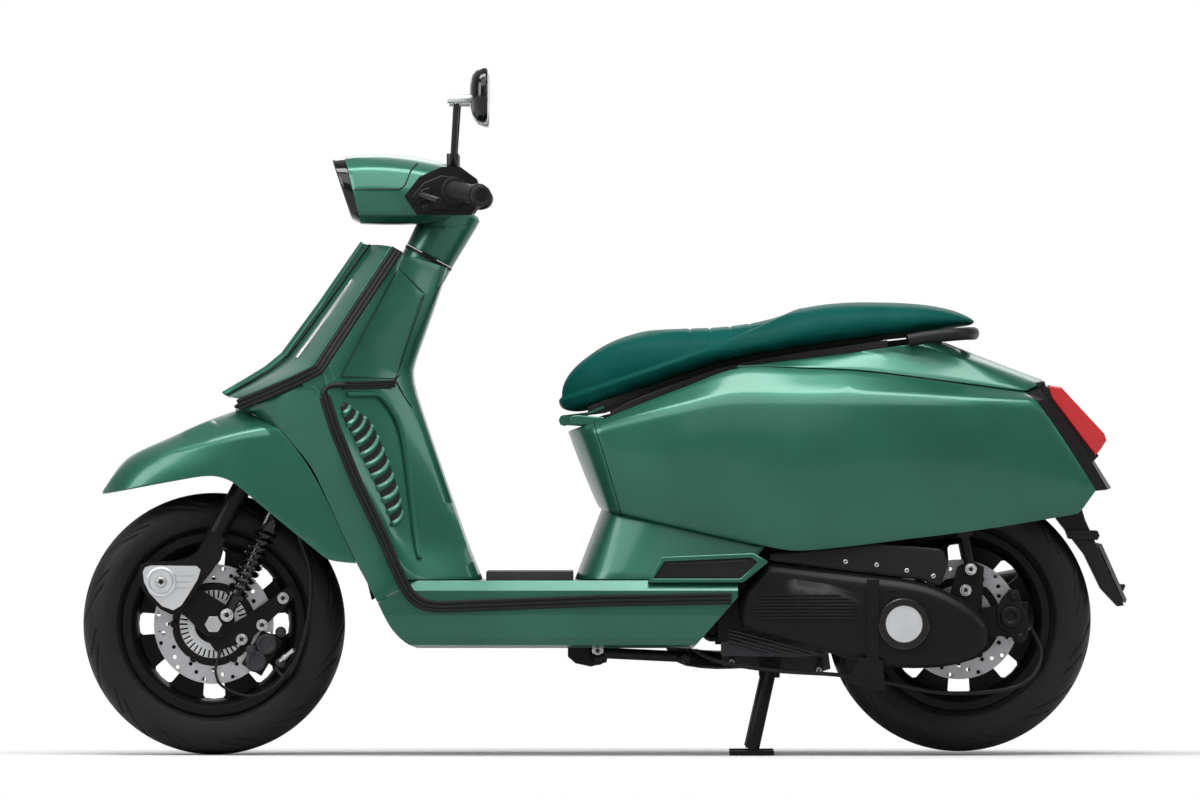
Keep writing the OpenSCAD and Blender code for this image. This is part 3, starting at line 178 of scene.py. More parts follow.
# synthetic leather, embossed: small rounded pebbles with a soft sheen, drawn larger than life to show
seatCover = {"low": "#02332e", "high": "#04433d", "pebbleMm": 2.6, "wearMm": 90, "roughness": 0.48,
             "shine": 0.04, "emboss": 0.35, "embossMm": 0.4}
seatVinyl, tree, shader, place = startMaterial("synthetic_leather_green", Roughness=seatCover["roughness"])
shader.inputs["Specular IOR Level"].default_value = seatCover["shine"]
pebbles = {"Vector": place, "Scale": perMetre(seatCover["pebbleMm"])}
pebble = addNode(tree, "ShaderNodeTexVoronoi", pebbles, feature="SMOOTH_F1")
wears = {"Vector": place, "Scale": perMetre(seatCover["wearMm"]), "Detail": 3.0}
wear = addNode(tree, "ShaderNodeTexNoise", wears)
tones = {"Factor": wear.outputs[0], 6: hexLinear(seatCover["low"]), 7: hexLinear(seatCover["high"])}
tone = addNode(tree, "ShaderNodeMix", tones, data_type="RGBA")
embossing = {"Height": pebble.outputs["Distance"], "Strength": seatCover["emboss"],
             "Distance": seatCover["embossMm"] / 1000}
relief = addNode(tree, "ShaderNodeBump", embossing, invert=True)
tree.links.new(tone.outputs[2], shader.inputs["Base Color"])
tree.links.new(relief.outputs[0], shader.inputs["Normal"])
print("stage: materials made,", len(bpy.data.materials))

# which finish each node of the frame takes
finishes = {
    greenPaint: ["front_fender", "front_apron", "center_tie", "leg_shield", "inner_shield", "floor_board",
                 "seat_cowl", "lower_panels", "side_panels", "tail_panel", "nacelle", "steering_neck"],
    ribRubber: ["shield_trim", "grips", "rear_cable", "front_hose"],
    blackAbsAndShade: ["side_vents", "wheel_well", "footpegs", "storage_bucket", "rear_mudguard", "air_box",
               "seat_pan", "mirrors", "grab_rail"],
    matRubber: ["floor_mat"],
    tyreRubber: ["front_tyre", "rear_tyre"],
    blackEnamel: ["tail_bezel", "switch_gear", "splash_guard", "frame", "engine", "cvt_cover", "exhaust",
                  "rear_shocks", "rear_caliper", "side_stand", "centre_stand", "front_rim", "rear_rim",
                  "fork", "front_links", "front_caliper", "handlebar", "levers"],
    greyAlloy: ["oil_sump"],
    silverAlloy: ["clutch_cap", "link_covers"],
    discSteel: ["front_disc", "rear_disc"],
    boltSteel: ["rear_axle", "front_axle"],
    lampRed: ["tail_lamp"],
    glossBlack: ["headlamp", "front_shocks"],
    lampSilver: ["front_indicators"],
    seatVinyl: ["seat"],
}
# facets of a solid that meet within this are one point
weldMm = 0.02


def roundEdges(piece, edgeMm, angleDeg=38):
    edge = piece.modifiers.new("edge", "BEVEL")
    edge.width = edgeMm / 1000
    edge.segments = 2
    edge.limit_method = "ANGLE"
    edge.angle_limit = math.radians(angleDeg)


# edges wider than the usual 1 mm, on the moulded and cast nodes that have them
softEdges = {"switch_gear": 5, "tail_lamp": 2.5, "footpegs": 2, "air_box": 6, "rear_mudguard": 4,
             "floor_board": 2.5, "floor_mat": 3, "center_tie": 2.5, "front_links": 2.5, "fork": 2,
             "link_covers": 1.6, "front_caliper": 2, "rear_caliper": 5, "oil_sump": 1.2, "engine": 3,
             "splash_guard": 1.5, "grips": 1.6}


def dressNode(name, material):
    # the node keeps its own solid; a weld and a small rounded edge catch the light along its corners
    piece = nodes[name]
    piece.data.materials.clear()
    piece.data.materials.append(material)
    weld = piece.modifiers.new("weld", "WELD")
    weld.merge_threshold = weldMm / 1000
    roundEdges(piece, softEdges.get(name, 1.0))


for material, names in finishes.items():
    for name in names:
        dressNode(name, material)
print("stage: nodes dressed")


def addPiece(name, mesh, material, body):
    mesh.materials.clear()
    mesh.materials.append(material)
    piece = bpy.data.objects.new(name, mesh)
    scene.collection.objects.link(piece)
    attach(piece, body)
    return piece


# pressed panels: how flat two facets lie to make one quad and how square it is, and where a crease is hard
press = {"flatDeg": 30, "squareDeg": 150, "hardDeg": 62, "edgeDeg": 50}


def smoothSkin(name, material, body, creaseDeg=30, softness=0.75, edgeMm=1.4):
    # a panel as it comes from the press: the solid's facets made quads and subdivided, with its creases kept
    mesh = nodes[name].data.copy()
    work = bmesh.new()
    work.from_mesh(mesh)
    bmesh.ops.remove_doubles(work, verts=work.verts, dist=weldMm / 1000)
    bmesh.ops.join_triangles(work, faces=work.faces, angle_face_threshold=math.radians(press["flatDeg"]),
                             angle_shape_threshold=math.radians(press["squareDeg"]))
    crease = work.edges.layers.float.new("crease_edge")
    for edge in work.edges:
        angle = math.degrees(edge.calc_face_angle(math.pi))
        edge[crease] = 1.0 if angle > press["hardDeg"] else softness if angle > creaseDeg else 0.0
    for face in work.faces:
        face.smooth = True
    work.to_mesh(mesh)
    work.free()
    mesh.name = name + "_skin"
    piece = addPiece(name + "_skin", mesh, material, body)
    rounder = piece.modifiers.new("rounder", "SUBSURF")
    rounder.levels = rounder.render_levels = 2
    roundEdges(piece, edgeMm, press["edgeDeg"])
    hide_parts(name)


panelCrease = {"front_fender": 28, "front_apron": 30, "leg_shield": 40, "inner_shield": 34,
               "seat_cowl": 40, "lower_panels": 40, "side_panels": 26, "tail_panel": 30}
for name, angle in panelCrease.items():
    smoothSkin(name, greenPaint, "chassis", angle)
smoothSkin("nacelle", greenPaint, "steering", 26)
smoothSkin("headlamp", glossBlack, "steering", 48)
smoothSkin("cvt_cover", blackEnamel, "chassis", 22, 0.55)
smoothSkin("grab_rail", blackAbsAndShade, "chassis", 50)
smoothSkin("rear_cable", ribRubber, "chassis", 60)
smoothSkin("front_hose", ribRubber, "steering", 60)
smoothSkin("levers", blackEnamel, "steering", 60)


def twoTone(name, first, second, body, test, edgeMm=0.8, sharpDeg=34):
    # copy of a node on which the faces whose middle, in mm, passes the test take a second finish
    mesh = nodes[name].data.copy()
    work = bmesh.new()
    work.from_mesh(mesh)
    bmesh.ops.remove_doubles(work, verts=work.verts, dist=weldMm / 1000)
    work.to_mesh(mesh)
    work.free()
    piece = addPiece(name + "_skin", mesh, first, body)
    mesh.materials.append(second)
    for face in mesh.polygons:
        face.material_index = 1 if test(face.center * 1000) else 0
        face.use_smooth = True
    mesh.set_sharp_from_angle(angle=math.radians(sharpDeg))
    roundEdges(piece, edgeMm)
    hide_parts(name)


# the hinge tongues of the seat pan and the storage box are painted as the body is
tongue = {"bucketAheadOf": 640, "panAheadOf": 628, "below": 640}
twoTone("storage_bucket", blackAbsAndShade, greenPaint, "chassis",
        lambda p: p.x - rearAxle.x > tongue["bucketAheadOf"] and p.z < tongue["below"])
twoTone("seat_pan", blackAbsAndShade, greenPaint, "seat",
        lambda p: p.x - rearAxle.x > tongue["panAheadOf"] and p.z < tongue["below"])
# bright joint between the mirror's stem and its head
mirrorJoint = {"above": 1173.5, "aheadOf": -463.2}
twoTone("mirrors", glossBlack, silverAlloy, "steering",
        lambda p: p.z > mirrorJoint["above"] and p.x - frontAxle.x > mirrorJoint["aheadOf"])
# bright sensor ring inside the front disc's band
sensorRingMm = 62
twoTone("front_disc", discSteel, silverAlloy, "front_wheel",
        lambda p: math.hypot(p.x - frontAxle.x, p.z - frontAxle.z) < sensorRingMm)
print("stage: panels skinned")


def through(knots, x):
    # smooth value at x through a few (x, value) knots, level beyond the ends
    if x <= knots[0][0] or x >= knots[-1][0]:
        return knots[0][1] if x <= knots[0][0] else knots[-1][1]
    last = len(knots) - 1
    k = next(i for i in range(last) if x <= knots[i + 1][0])
    (x0, v0), (x1, v1) = knots[k], knots[k + 1]
    before, after = knots[max(k - 1, 0)], knots[min(k + 2, last)]
    span = x1 - x0
    start = (v1 - before[1]) / (x1 - before[0]) * span
    end = (after[1] - v0) / (after[0] - x0) * span
    t = (x - x0) / span
    ease = t * t * (3 - 2 * t)
    return v0 + (v1 - v0) * ease + t * (1 - t) ** 2 * start - t * t * (1 - t) * end


def spline(points, perSpan):
    # points along a smooth curve through the given ones
    points = [Vector(p) for p in points]
    out = []
    for k in range(len(points) - 1):
        a, b = points[max(k - 1, 0)], points[k]
        c, d = points[k + 1], points[min(k + 2, len(points) - 1)]
        for i in range(perSpan):
            t = i / perSpan
            square = (2 * a - 5 * b + 4 * c - d) * t ** 2
            cube = (3 * b - a - 3 * c + d) * t ** 3
            out.append(0.5 * (2 * b + (c - a) * t + square + cube))
    return out + [points[-1]]


def gridMesh(name, rows, closeRows=False):
    # mesh over rows of equally many points, in metres
    across = len(rows[0])
    count = len(rows)
    faces = []
    for i in range(count if closeRows else count - 1):
        a, b = i * across, (i + 1) % count * across
        faces += [(a + j, a + j + 1, b + j + 1, b + j) for j in range(across - 1)]
    mesh = bpy.data.meshes.new(name)
    mesh.from_pydata([p for row in rows for p in row], [], faces)
    mesh.polygons.foreach_set("use_smooth", [True] * len(faces))
    return mesh


def step(value, low, high):
    t = min(max((value - low) / (high - low), 0.0), 1.0)
    return t * t * (3 - 2 * t)


# tyres: the carcass turned from its section, with grooves over the shoulders and fine rings on the wall
tread = {"pitches": 12, "turns": 600, "perSpan": 8, "treadSpans": 4, "grooveMm": 4.5, "widthMm": 2.6,
         "curve": 1.4, "slant": 0.55, "fadeIn": 0.08, "fadeOut": 0.12, "ringMm": 0.8, "lipMm": 1.5,
         "beadMm": (153, 43)}
# half section from the crown to the rim: shares of the wall's height down, and of the half width out
wallSection = [(0, 0), (0.022, 0.3), (0.1, 0.62), (0.235, 0.86), (0.41, 0.97), (0.59, 1), (0.88, 0.92),
               (1, 0.72)]
# each groove: where it starts and ends round the tyre in pitches, and from the crown to the shoulder
grooves = [(0.0, 0.72, 0.26, 0.99), (0.52, 0.95, 0.5, 0.95), (0.3, 0.62, 0.05, 0.4)]


def treadTyre(name, rimName, body):
    low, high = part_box(name)
    middle = (low + high) / 2
    radius = (high.z - low.z) / 2
    half = (high.y - low.y) / 2
    rimLow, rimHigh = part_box(rimName)
    wall = radius - (rimHigh.z - rimLow.z) / 2 - tread["lipMm"] / 1000
    section = spline([(radius - down * wall, out * half, 0) for down, out in wallSection], tread["perSpan"])
    ringAt = (len(section) - 1 - tread["perSpan"], len(section) - 1 - 2 * tread["perSpan"])
    section.append(Vector((tread["beadMm"][0] / 1000, tread["beadMm"][1] / 1000, 0)))
    treadEnd = tread["treadSpans"] * tread["perSpan"]
    pitchMm = 2 * math.pi * radius * 1000 / tread["pitches"]

    def depthAt(turn, reach):
        deepest = 0.0
        for t0, t1, a0, a1 in grooves:
            if a0 <= reach <= a1:
                share = (reach - a0) / (a1 - a0)
                off = (turn - t0 - (t1 - t0) * share ** tread["curve"] + 0.5) % 1 - 0.5
                aside = abs(off) * pitchMm * tread["slant"]
                cut = 1 - step(aside, tread["widthMm"] * 0.5, tread["widthMm"])
                fade = step(share, 0, tread["fadeIn"]) * step(1 - share, 0, tread["fadeOut"])
                deepest = max(deepest, cut * fade)
        return deepest * tread["grooveMm"] / 1000

    rows = []
    count = len(section)
    for j in range(tread["turns"]):
        angle = 2 * math.pi * j / tread["turns"]
        row = []
        for i in range(1 - count, count):
            side = 1 if i >= 0 else -1
            k = abs(i)
            ahead, behind = section[min(k + 1, count - 1)], section[max(k - 1, 0)]
            out = Vector((ahead.y - behind.y, behind.x - ahead.x, 0)).normalized()
            cut = 0.0
            if k <= treadEnd:
                turn = j / tread["turns"] * tread["pitches"] + (0.5 if side < 0 else 0)
                cut = depthAt(turn, k / treadEnd)
            if k in ringAt:
                cut -= tread["ringMm"] / 1000
            r = section[k].x - out.x * cut
            y = side * (section[k].y - out.y * cut)
            row.append(middle + Vector((r * math.cos(angle), y, r * math.sin(angle))))
        rows.append(row)
    piece = addPiece(name + "_tread", gridMesh(name + "_tread", rows, True), tyreRubber, body)
    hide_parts(name)


treadTyre("front_tyre", "front_rim", "front_wheel")
treadTyre("rear_tyre", "rear_rim", "rear_wheel")
print("stage: tyres made")

# seat: foam under stretched leather, swollen by cloth simulation over a pinned base, then the sewn lines
cushion = {"voxelMm": 6, "baseFacing": -0.6, "startInMm": 3, "pressure": 2.0, "capMm": 5, "frames": 16,
           "relax": 14, "underFacing": -0.5, "ledgeMm": 6, "ledgeFadeMm": (40, 60), "ledgeRiseMm": (-2, 7),
           "channelMm": 2.4, "channelHalfMm": 2.6, "channelRiseMm": (6, 26)}
# the sweeping line from the nose up to the passenger's pad, and the sewn channels, from the rear axle
sweepLine = [(287, 807), (345, 781), (395, 758), (450, 734), (504, 713), (600, 679), (690, 650), (720, 641)]
channels = [378, 414, 450, 486]


def swollenSeat():
    piece = addPiece("seat_cover", nodes["seat"].data.copy(), seatVinyl, "seat")
    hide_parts("seat")
    bpy.context.view_layer.objects.active = piece
    prepare = [("WELD", {"merge_threshold": weldMm / 1000}),
               ("SUBSURF", {"levels": 2}),
               ("REMESH", {"mode": "VOXEL", "voxel_size": cushion["voxelMm"] / 1000}),
               ("SMOOTH", {"factor": 0.5, "iterations": 6})]
    for kind, settings in prepare:
        stage = piece.modifiers.new(kind.lower(), kind)
        for key, value in settings.items():
            setattr(stage, key, value)
        bpy.ops.object.modifier_apply(modifier=stage.name)
    mesh = piece.data
    start = []
    base = []
    for v in mesh.vertices:
        start.append(v.co.copy())
        if v.normal.z > cushion["baseFacing"]:
            start[-1] -= v.normal * cushion["startInMm"] / 1000
        else:
            base.append(v.index)
    held = piece.vertex_groups.new(name="held")
    held.add(base, 1.0, "REPLACE")
    for v, co in zip(mesh.vertices, start):
        v.co = co
    cloth = piece.modifiers.new("cloth", "CLOTH")
    cloth.settings.use_pressure = True
    cloth.settings.uniform_pressure_force = cushion["pressure"]
    cloth.settings.vertex_group_mass = "held"
    cloth.settings.effector_weights.gravity = 0
    for frameNumber in range(1, cushion["frames"] + 1):
        scene.frame_set(frameNumber)
    bpy.ops.object.modifier_apply(modifier="cloth")
    scene.frame_set(1)
    cap = cushion["capMm"] / 1000
    for v, co in zip(piece.data.vertices, start):
        move = v.co - co
        v.co = co + move * min(1, cap / max(move.length, 1e-9))
    relax = piece.modifiers.new("relax", "SMOOTH")
    relax.factor = 0.5
    relax.iterations = cushion["relax"]
    bpy.ops.object.modifier_apply(modifier="relax")
    fine = piece.modifiers.new("fine", "SUBSURF")
    fine.levels = fine.render_levels = 1
    bpy.ops.object.modifier_apply(modifier="fine")
    normals = [v.normal.copy() for v in piece.data.vertices]
    fadeBefore, fadeAfter = cushion["ledgeFadeMm"]
    fadeFrom = sweepLine[0][0] - fadeBefore
    fadeTo = sweepLine[0][0] + fadeAfter
    for v, outward in zip(piece.data.vertices, normals):
        along = v.co.x * 1000 - rearAxle.x
        if along < fadeFrom or outward.z < cushion["underFacing"]:
            continue
        above = v.co.z * 1000 - through(sweepLine, along)
        inward = cushion["ledgeMm"] * step(above, *cushion["ledgeRiseMm"]) * step(along, fadeFrom, fadeTo)
        near = min(abs(along - c) for c in channels)
        sewn = math.exp(-(near / cushion["channelHalfMm"]) ** 2) * step(above, *cushion["channelRiseMm"])
        inward += cushion["channelMm"] * sewn
        v.co -= outward * inward / 1000
    piece.data.polygons.foreach_set("use_smooth", [True] * len(piece.data.polygons))


swollenSeat()
print("stage: seat simulated")


def bridge(work, rings, closed=False):
    # skin over rings of equally many points in mm, with an end face on each open end
    rows = [[work.verts.new(Vector(p) / 1000) for p in ring] for ring in rings]
    count = len(rows[0])
    pairs = list(zip(rows, rows[1:])) + ([(rows[-1], rows[0])] if closed else [])
    for low, high in pairs:
        for i in range(count):
            j = (i + 1) % count
            work.faces.new((low[i], low[j], high[j], high[i]))
    if not closed:
        work.faces.new(rows[0][::-1])
        work.faces.new(rows[-1])


def turned(work, profile, at, axis=(0, 1, 0), sides=32, closed=False):
    # turned part from (radius, distance along the axis) pairs
    axis = Vector(axis).normalized()
    side = axis.orthogonal().normalized()
    up = axis.cross(side)
    turns = [2 * math.pi * i / sides for i in range(sides)]
    spokes = [side * math.cos(t) + up * math.sin(t) for t in turns]
    rings = [[Vector(at) + axis * along + spoke * radius for spoke in spokes] for radius, along in profile]
    bridge(work, rings, closed)


def slab(work, axle, outline, y0, y1):
    # plate with an (x, z) outline, x from an axle, between two distances across
    bridge(work, [[(axle.x + x, y, z) for x, z in outline] for y in (y0, y1)])


def slabPair(work, axle, outline, y0, y1):
    # the same plate on both sides
    for side in (1, -1):
        slab(work, axle, outline, side * y0, side * y1)


def wire(work, points, radius, sides=12):
    # round wire along a smooth line
    path = spline(points, 8)
    across = (path[1] - path[0]).orthogonal()
    turns = [2 * math.pi * i / sides for i in range(sides)]
    rings = []
    for k, p in enumerate(path):
        ahead = (path[min(k + 1, len(path) - 1)] - path[max(k - 1, 0)]).normalized()
        across = (across - ahead * across.dot(ahead)).normalized()
        up = ahead.cross(across)
        rings.append([p + (across * math.cos(t) + up * math.sin(t)) * radius for t in turns])
    bridge(work, rings)


def closePiece(name, work, material, body, edgeMm, sharpDeg=35):
    # a closed piece, shaded smooth with sharp edges past an angle and rounded at its edges; it is given no
    # slot here
    bmesh.ops.recalc_face_normals(work, faces=work.faces)
    mesh = bpy.data.meshes.new(name)
    work.to_mesh(mesh)
    work.free()
    mesh.polygons.foreach_set("use_smooth", [True] * len(mesh.polygons))
    mesh.set_sharp_from_angle(angle=math.radians(sharpDeg))
    piece = addPiece(name, mesh, material, body)
    roundEdges(piece, edgeMm)
    return piece


def skinTree(name):
    mesh = nodes[name].data
    return BVHTree.FromPolygons([v.co for v in mesh.vertices], [tuple(p.vertices) for p in mesh.polygons])


def onSkin(skin, x, z, side, lift=0.0, outsideMm=400):
    # the point of a node's outer face at (x, z), seen from one side, lifted along its normal; all in mm
    outside = Vector((x, side * outsideMm, z)) / 1000
    hit, outward = skin.ray_cast(outside, Vector((0, -side, 0)))[:2]
    return hit * 1000 + outward * lift if hit else None


def seam(work, skin, line, side, radius):
    # dark joint line that follows a node's outer face, its (x, z) points from the front axle
    flat = spline([(frontAxle.x + x, z, 0) for x, z in line], 4)
    path = [onSkin(skin, q.x, q.y, side) for q in flat]
    wire(work, [q for q in path if q], radius, sides=8)


# cap screws, all sizes as shares of the head's radius: washer and head with a rounded rim, and its socket
capScrew = [(1.3, 0), (1.3, 0.16), (1.0, 0.16), (1.0, 0.55), (0.88, 0.68), (0.6, 0.68), (0.56, 0.3)]
screwSocket = [(0.5, 0.28), (0.5, 0.5), (0.3, 0.5)]


def screws(name, spots, body):
    # each spot: the middle of the seat under the head, and the head's radius; heads face outwards
    heads = bmesh.new()
    sockets = bmesh.new()
    for at, radius in spots:
        facing = (0, 1 if at.y > 0 else -1, 0)
        turned(heads, [(r * radius, h * radius) for r, h in capScrew], at, facing, sides=24)
        turned(sockets, [(r * radius, h * radius) for r, h in screwSocket], at, facing, sides=6)
    closePiece(name, heads, boltSteel, body, edgeMm=0.3)
    closePiece(name + "_sockets", sockets, glossBlack, body, edgeMm=0.1)


def bothSides(points):
    return [Vector((p[0], side * p[1], p[2])) for p in points for side in (1, -1)]


# louvres on the inner shield: the ends of each slot at the front and at the rear, from the front axle
slotFront = [(-229, 630), (-234, 609), (-242, 589), (-250, 574), (-257, 554), (-266, 535), (-274, 516),
             (-284, 496), (-294, 475), (-304, 453), (-314, 432), (-322, 410)]
slotRear = [(-236, 640), (-250, 628), (-264, 620), (-278, 611), (-290, 594), (-300, 572), (-309, 550),
            (-318, 527), (-326, 503), (-334, 479), (-338, 457), (-341, 434)]
louvre = {"perSlot": 10, "along": 12, "riseMm": 4.5, "baseMm": 3.4, "sinkMm": 2.5,
          "slotShare": 0.5, "rimShare": 0.09, "bendBack": 0.05, "bendDown": 0.72}
shieldSkin = skinTree("inner_shield")


def louvreHeight(turn, along):
    # fins rise between the slots, and fade towards both ends
    fin = 0.0
    if turn % 1 > louvre["slotShare"]:
        fin = math.sin(math.pi * (turn % 1 - louvre["slotShare"]) / (1 - louvre["slotShare"]))
    rim = step(min(along, 1 - along), 0.0, louvre["rimShare"])
    return louvre["riseMm"] * fin * rim + louvre["baseMm"]


def louvreBlock(name, side):
    last = len(slotFront) - 1
    count = last * louvre["perSlot"]
    rows = []
    for i in range(count + 1):
        at = i / louvre["perSlot"]
        k = min(int(at), last - 1)
        low = Vector(slotFront[k]).lerp(Vector(slotFront[k + 1]), at - k)
        high = Vector(slotRear[k]).lerp(Vector(slotRear[k + 1]), at - k)
        bendX = high.x - louvre["bendBack"] * (high.x - low.x)
        bend = Vector((bendX, high.y + louvre["bendDown"] * (low.y - high.y)))
        row = []
        for j in range(louvre["along"] + 1):
            t = j / louvre["along"]
            flat = high * (1 - t) ** 2 + bend * 2 * t * (1 - t) + low * t ** 2
            edge = i in (0, count) or j in (0, louvre["along"])
            lift = -louvre["sinkMm"] if edge else louvreHeight(at, t)
            row.append(onSkin(shieldSkin, frontAxle.x + flat.x, flat.y, side, lift) / 1000)
        rows.append(row if side > 0 else row[::-1])
    piece = addPiece(name, gridMesh(name, rows), greenPaint, "chassis")
    piece.data.materials.append(blackAbsAndShade)
    for face in piece.data.polygons:
        turn = (face.index // louvre["along"] + 0.5) / louvre["perSlot"] % 1
        face.material_index = 1 if turn < louvre["slotShare"] else 0
    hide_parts("side_vents")


louvreBlock("louvres_left", 1)
louvreBlock("louvres_right", -1)

# front indicators: slim lenses seated on the apron beside its edge, wider towards their lower ends;
# their section is in shares of the half width, and heights above the apron in mm
indicator = {"line": [(-252, 856), (-220, 810), (-186, 762), (-152, 716)], "topMm": 2.5, "bottomMm": 7,
             "section": [(-1, -3), (-1, 2.6), (-0.6, 5), (0.6, 5), (1, 2.6), (1, -3)]}
apronSkin = skinTree("front_apron")
work = bmesh.new()
for side in (1, -1):
    path = spline([(frontAxle.x + x, z, 0) for x, z in indicator["line"]], 4)
    feet = [onSkin(apronSkin, q.x, q.y, side) for q in path]
    raised = [onSkin(apronSkin, q.x, q.y, side, 1) for q in path]
    last = len(path) - 1
    rings = []
    for k, p in enumerate(feet):
        outward = raised[k] - p
        sideways = outward.cross(feet[min(k + 1, last)] - feet[max(k - 1, 0)]).normalized()
        wide = indicator["topMm"] + (indicator["bottomMm"] - indicator["topMm"]) * k / last
        rings.append([p + sideways * wide * share + outward * rise for share, rise in indicator["section"]])
    bridge(work, rings)
piece = closePiece("indicator_lenses", work, lampSilver, "chassis", edgeMm=0.8)
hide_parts("front_indicators")

# fender: its nose closed across the middle
fenderTip = {"outer": [(202, 472), (201, 476), (198.5, 481), (193, 487.5)],
             "inner": [(189.6, 485.2), (194.6, 479), (197, 475), (198.4, 470.9)], "halfMm": 18}
work = bmesh.new()
slab(work, frontAxle, fenderTip["outer"] + fenderTip["inner"], -fenderTip["halfMm"], fenderTip["halfMm"])
closePiece("fender_tip", work, greenPaint, "chassis", edgeMm=1.5)

# joints of the raised panel above the knee, and of the shield's rear edge
shieldJoint = {"radiusMm": 0.9,
               "lines": [[(-335, 878), (-381, 832), (-329, 679), (-231, 683), (-330, 872)],
                         [(-418, 866), (-365, 750), (-353, 708), (-329, 677)],
                         [(-329, 677), (-344, 648), (-358, 628)]]}
work = bmesh.new()
for side in (1, -1):
    for line in shieldJoint["lines"]:
        for a, b in zip(line, line[1:]):
            halfway = ((a[0] + b[0]) / 2, (a[1] + b[1]) / 2)
            seam(work, shieldSkin, [a, halfway, b], side, shieldJoint["radiusMm"])
closePiece("shield_seams", work, blackAbsAndShade, "chassis", edgeMm=0.1)

# the knee trim carried round the corner into the shield's trim
kneeTrim = {"radiusMm": 4.6, "route": [(-238, 183, 668), (-222, 188, 668), (-207, 192, 664), (-200, 196, 654),
                                       (-201, 197, 640)]}
work = bmesh.new()
for side in (1, -1):
    wire(work, fromFront([(x, side * y, z) for x, y, z in kneeTrim["route"]]), kneeTrim["radiusMm"])
closePiece("knee_corner", work, ribRubber, "chassis", edgeMm=0.2)

# the green corner under it
shieldCorner = {"outline": [(-156, 676), (-176, 698), (-212, 704), (-222, 676), (-208, 640), (-188, 636)],
                "acrossMm": (140, 188)}
work = bmesh.new()
slabPair(work, frontAxle, shieldCorner["outline"], *shieldCorner["acrossMm"])
closePiece("shield_corner", work, greenPaint, "chassis", edgeMm=2)

# front suspension: link boss and damper eye on both sides, three screws on the caliper's bracket
frontScrews = {"links": [(94, 113.4, 313), (-24.6, 107, 252.9)], "linkMm": 9,
               "bracket": [(-50.6, 73.6, 209), (-87.4, 73.6, 234.8), (-125.4, 73.6, 283.4)], "bracketMm": 8}
linkSpots = [(p, frontScrews["linkMm"]) for p in bothSides(fromFront(frontScrews["links"]))]
bracketSpots = [(p, frontScrews["bracketMm"]) for p in fromFront(frontScrews["bracket"])]
screws("front_screws", linkSpots + bracketSpots, "steering")

# engine: along the air box, the damper eye and its bracket
engineScrews = {"box": [(206, 172, 350), (150, 172, 344), (96, 172, 334), (48, 172, 324)], "boxMm": 3.2,
                "eyes": [(-20, 142, 336), (-11, 120, 298)], "eyeMm": 8}
boxSpots = [(p, engineScrews["boxMm"]) for p in fromRear(engineScrews["box"])]
eyeSpots = [(p, engineScrews["eyeMm"]) for p in fromRear(engineScrews["eyes"])]
screws("engine_screws", boxSpots + eyeSpots, "chassis")

# wheel speed sensor's wire, looped below the bracket and up to the brake hose
sensorWire = {"radiusMm": 2.6, "route": [(-14, 74, 192), (-6, 80, 166), (-4, 84, 148), (-17, 85, 124),
                                         (-64, 85, 107), (-109, 86, 124), (-140, 90, 160), (-151, 97, 178)]}
work = bmesh.new()
wire(work, fromFront(sensorWire["route"]), sensorWire["radiusMm"])
closePiece("sensor_wire", work, ribRubber, "steering", edgeMm=0.2)

# rings round the link's bolt
linkRing = {"spot": (94, 111.4, 313),
            "section": [(27, 0), (27, 2.4), (25, 4.2), (22.5, 4.2), (21, 2.4), (20, 2.4), (20, 0)]}
work = bmesh.new()
for spot in bothSides(fromFront([linkRing["spot"]])):
    turned(work, linkRing["section"], spot, (0, spot.y, 0), sides=48, closed=True)
closePiece("link_rings", work, silverAlloy, "steering", edgeMm=0.4)

# piston caps and guide pins of the front caliper
caliperCaps = {"caps": [(-95, 66, 200.4), (-76.4, 66, 169.6)],
               "cap": [(19, 0), (19, 7.5), (16.5, 9.5), (12, 9.5), (11, 7.7)],
               "pins": [(-121, 56, 222), (-68, 63, 190), (-121, 56, 166)],
               "pin": [(10, 0), (10, 12), (7, 14), (7, 19), (5, 20)]}
work = bmesh.new()
for spot in fromFront(caliperCaps["caps"]):
    turned(work, caliperCaps["cap"], spot)
for spot in fromFront(caliperCaps["pins"]):
    turned(work, caliperCaps["pin"], spot, sides=20)
closePiece("front_caliper_caps", work, greyAlloy, "steering", edgeMm=0.6)

# bright end of the brake hose, and where it points
hoseEnd = {"start": (-120, 74, 170), "towards": (-151, 94, 196),
           "section": [(4, 0), (4, 8), (5.5, 9), (5.5, 16), (4.2, 17), (4.2, 36)]}
work = bmesh.new()
hoseStart = atFront(*hoseEnd["start"])
turned(work, hoseEnd["section"], hoseStart, atFront(*hoseEnd["towards"]) - hoseStart, sides=16)
closePiece("hose_end", work, boltSteel, "steering", edgeMm=0.3)

# black carrier between a disc's band and the hub, with the buttons that hold the band
carrier = {"ring": [(61.5, 0.1), (74, 0.1), (74, 1.7), (61.5, 1.7)], "buttons": 6, "buttonAtMm": 72,
           "button": [(7, 0), (7, 2.4), (5.6, 3.2), (3, 3.2), (2.6, 2)]}


def discCarrier(name, discName, body):
    low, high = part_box(discName)
    middle = (low + high) * 500
    face = high.y * 1000
    work = bmesh.new()
    turned(work, carrier["ring"], (middle.x, face, middle.z), sides=96, closed=True)
    for k in range(carrier["buttons"]):
        angle = 2 * math.pi * k / carrier["buttons"]
        reach = Vector((math.cos(angle), 0, math.sin(angle))) * carrier["buttonAtMm"]
        turned(work, carrier["button"], Vector((middle.x, face, middle.z)) + reach, sides=20)
    closePiece(name, work, blackEnamel, body, edgeMm=0.3)


discCarrier("front_disc_carrier", "front_disc", "front_wheel")
discCarrier("rear_disc_carrier", "rear_disc", "rear_wheel")

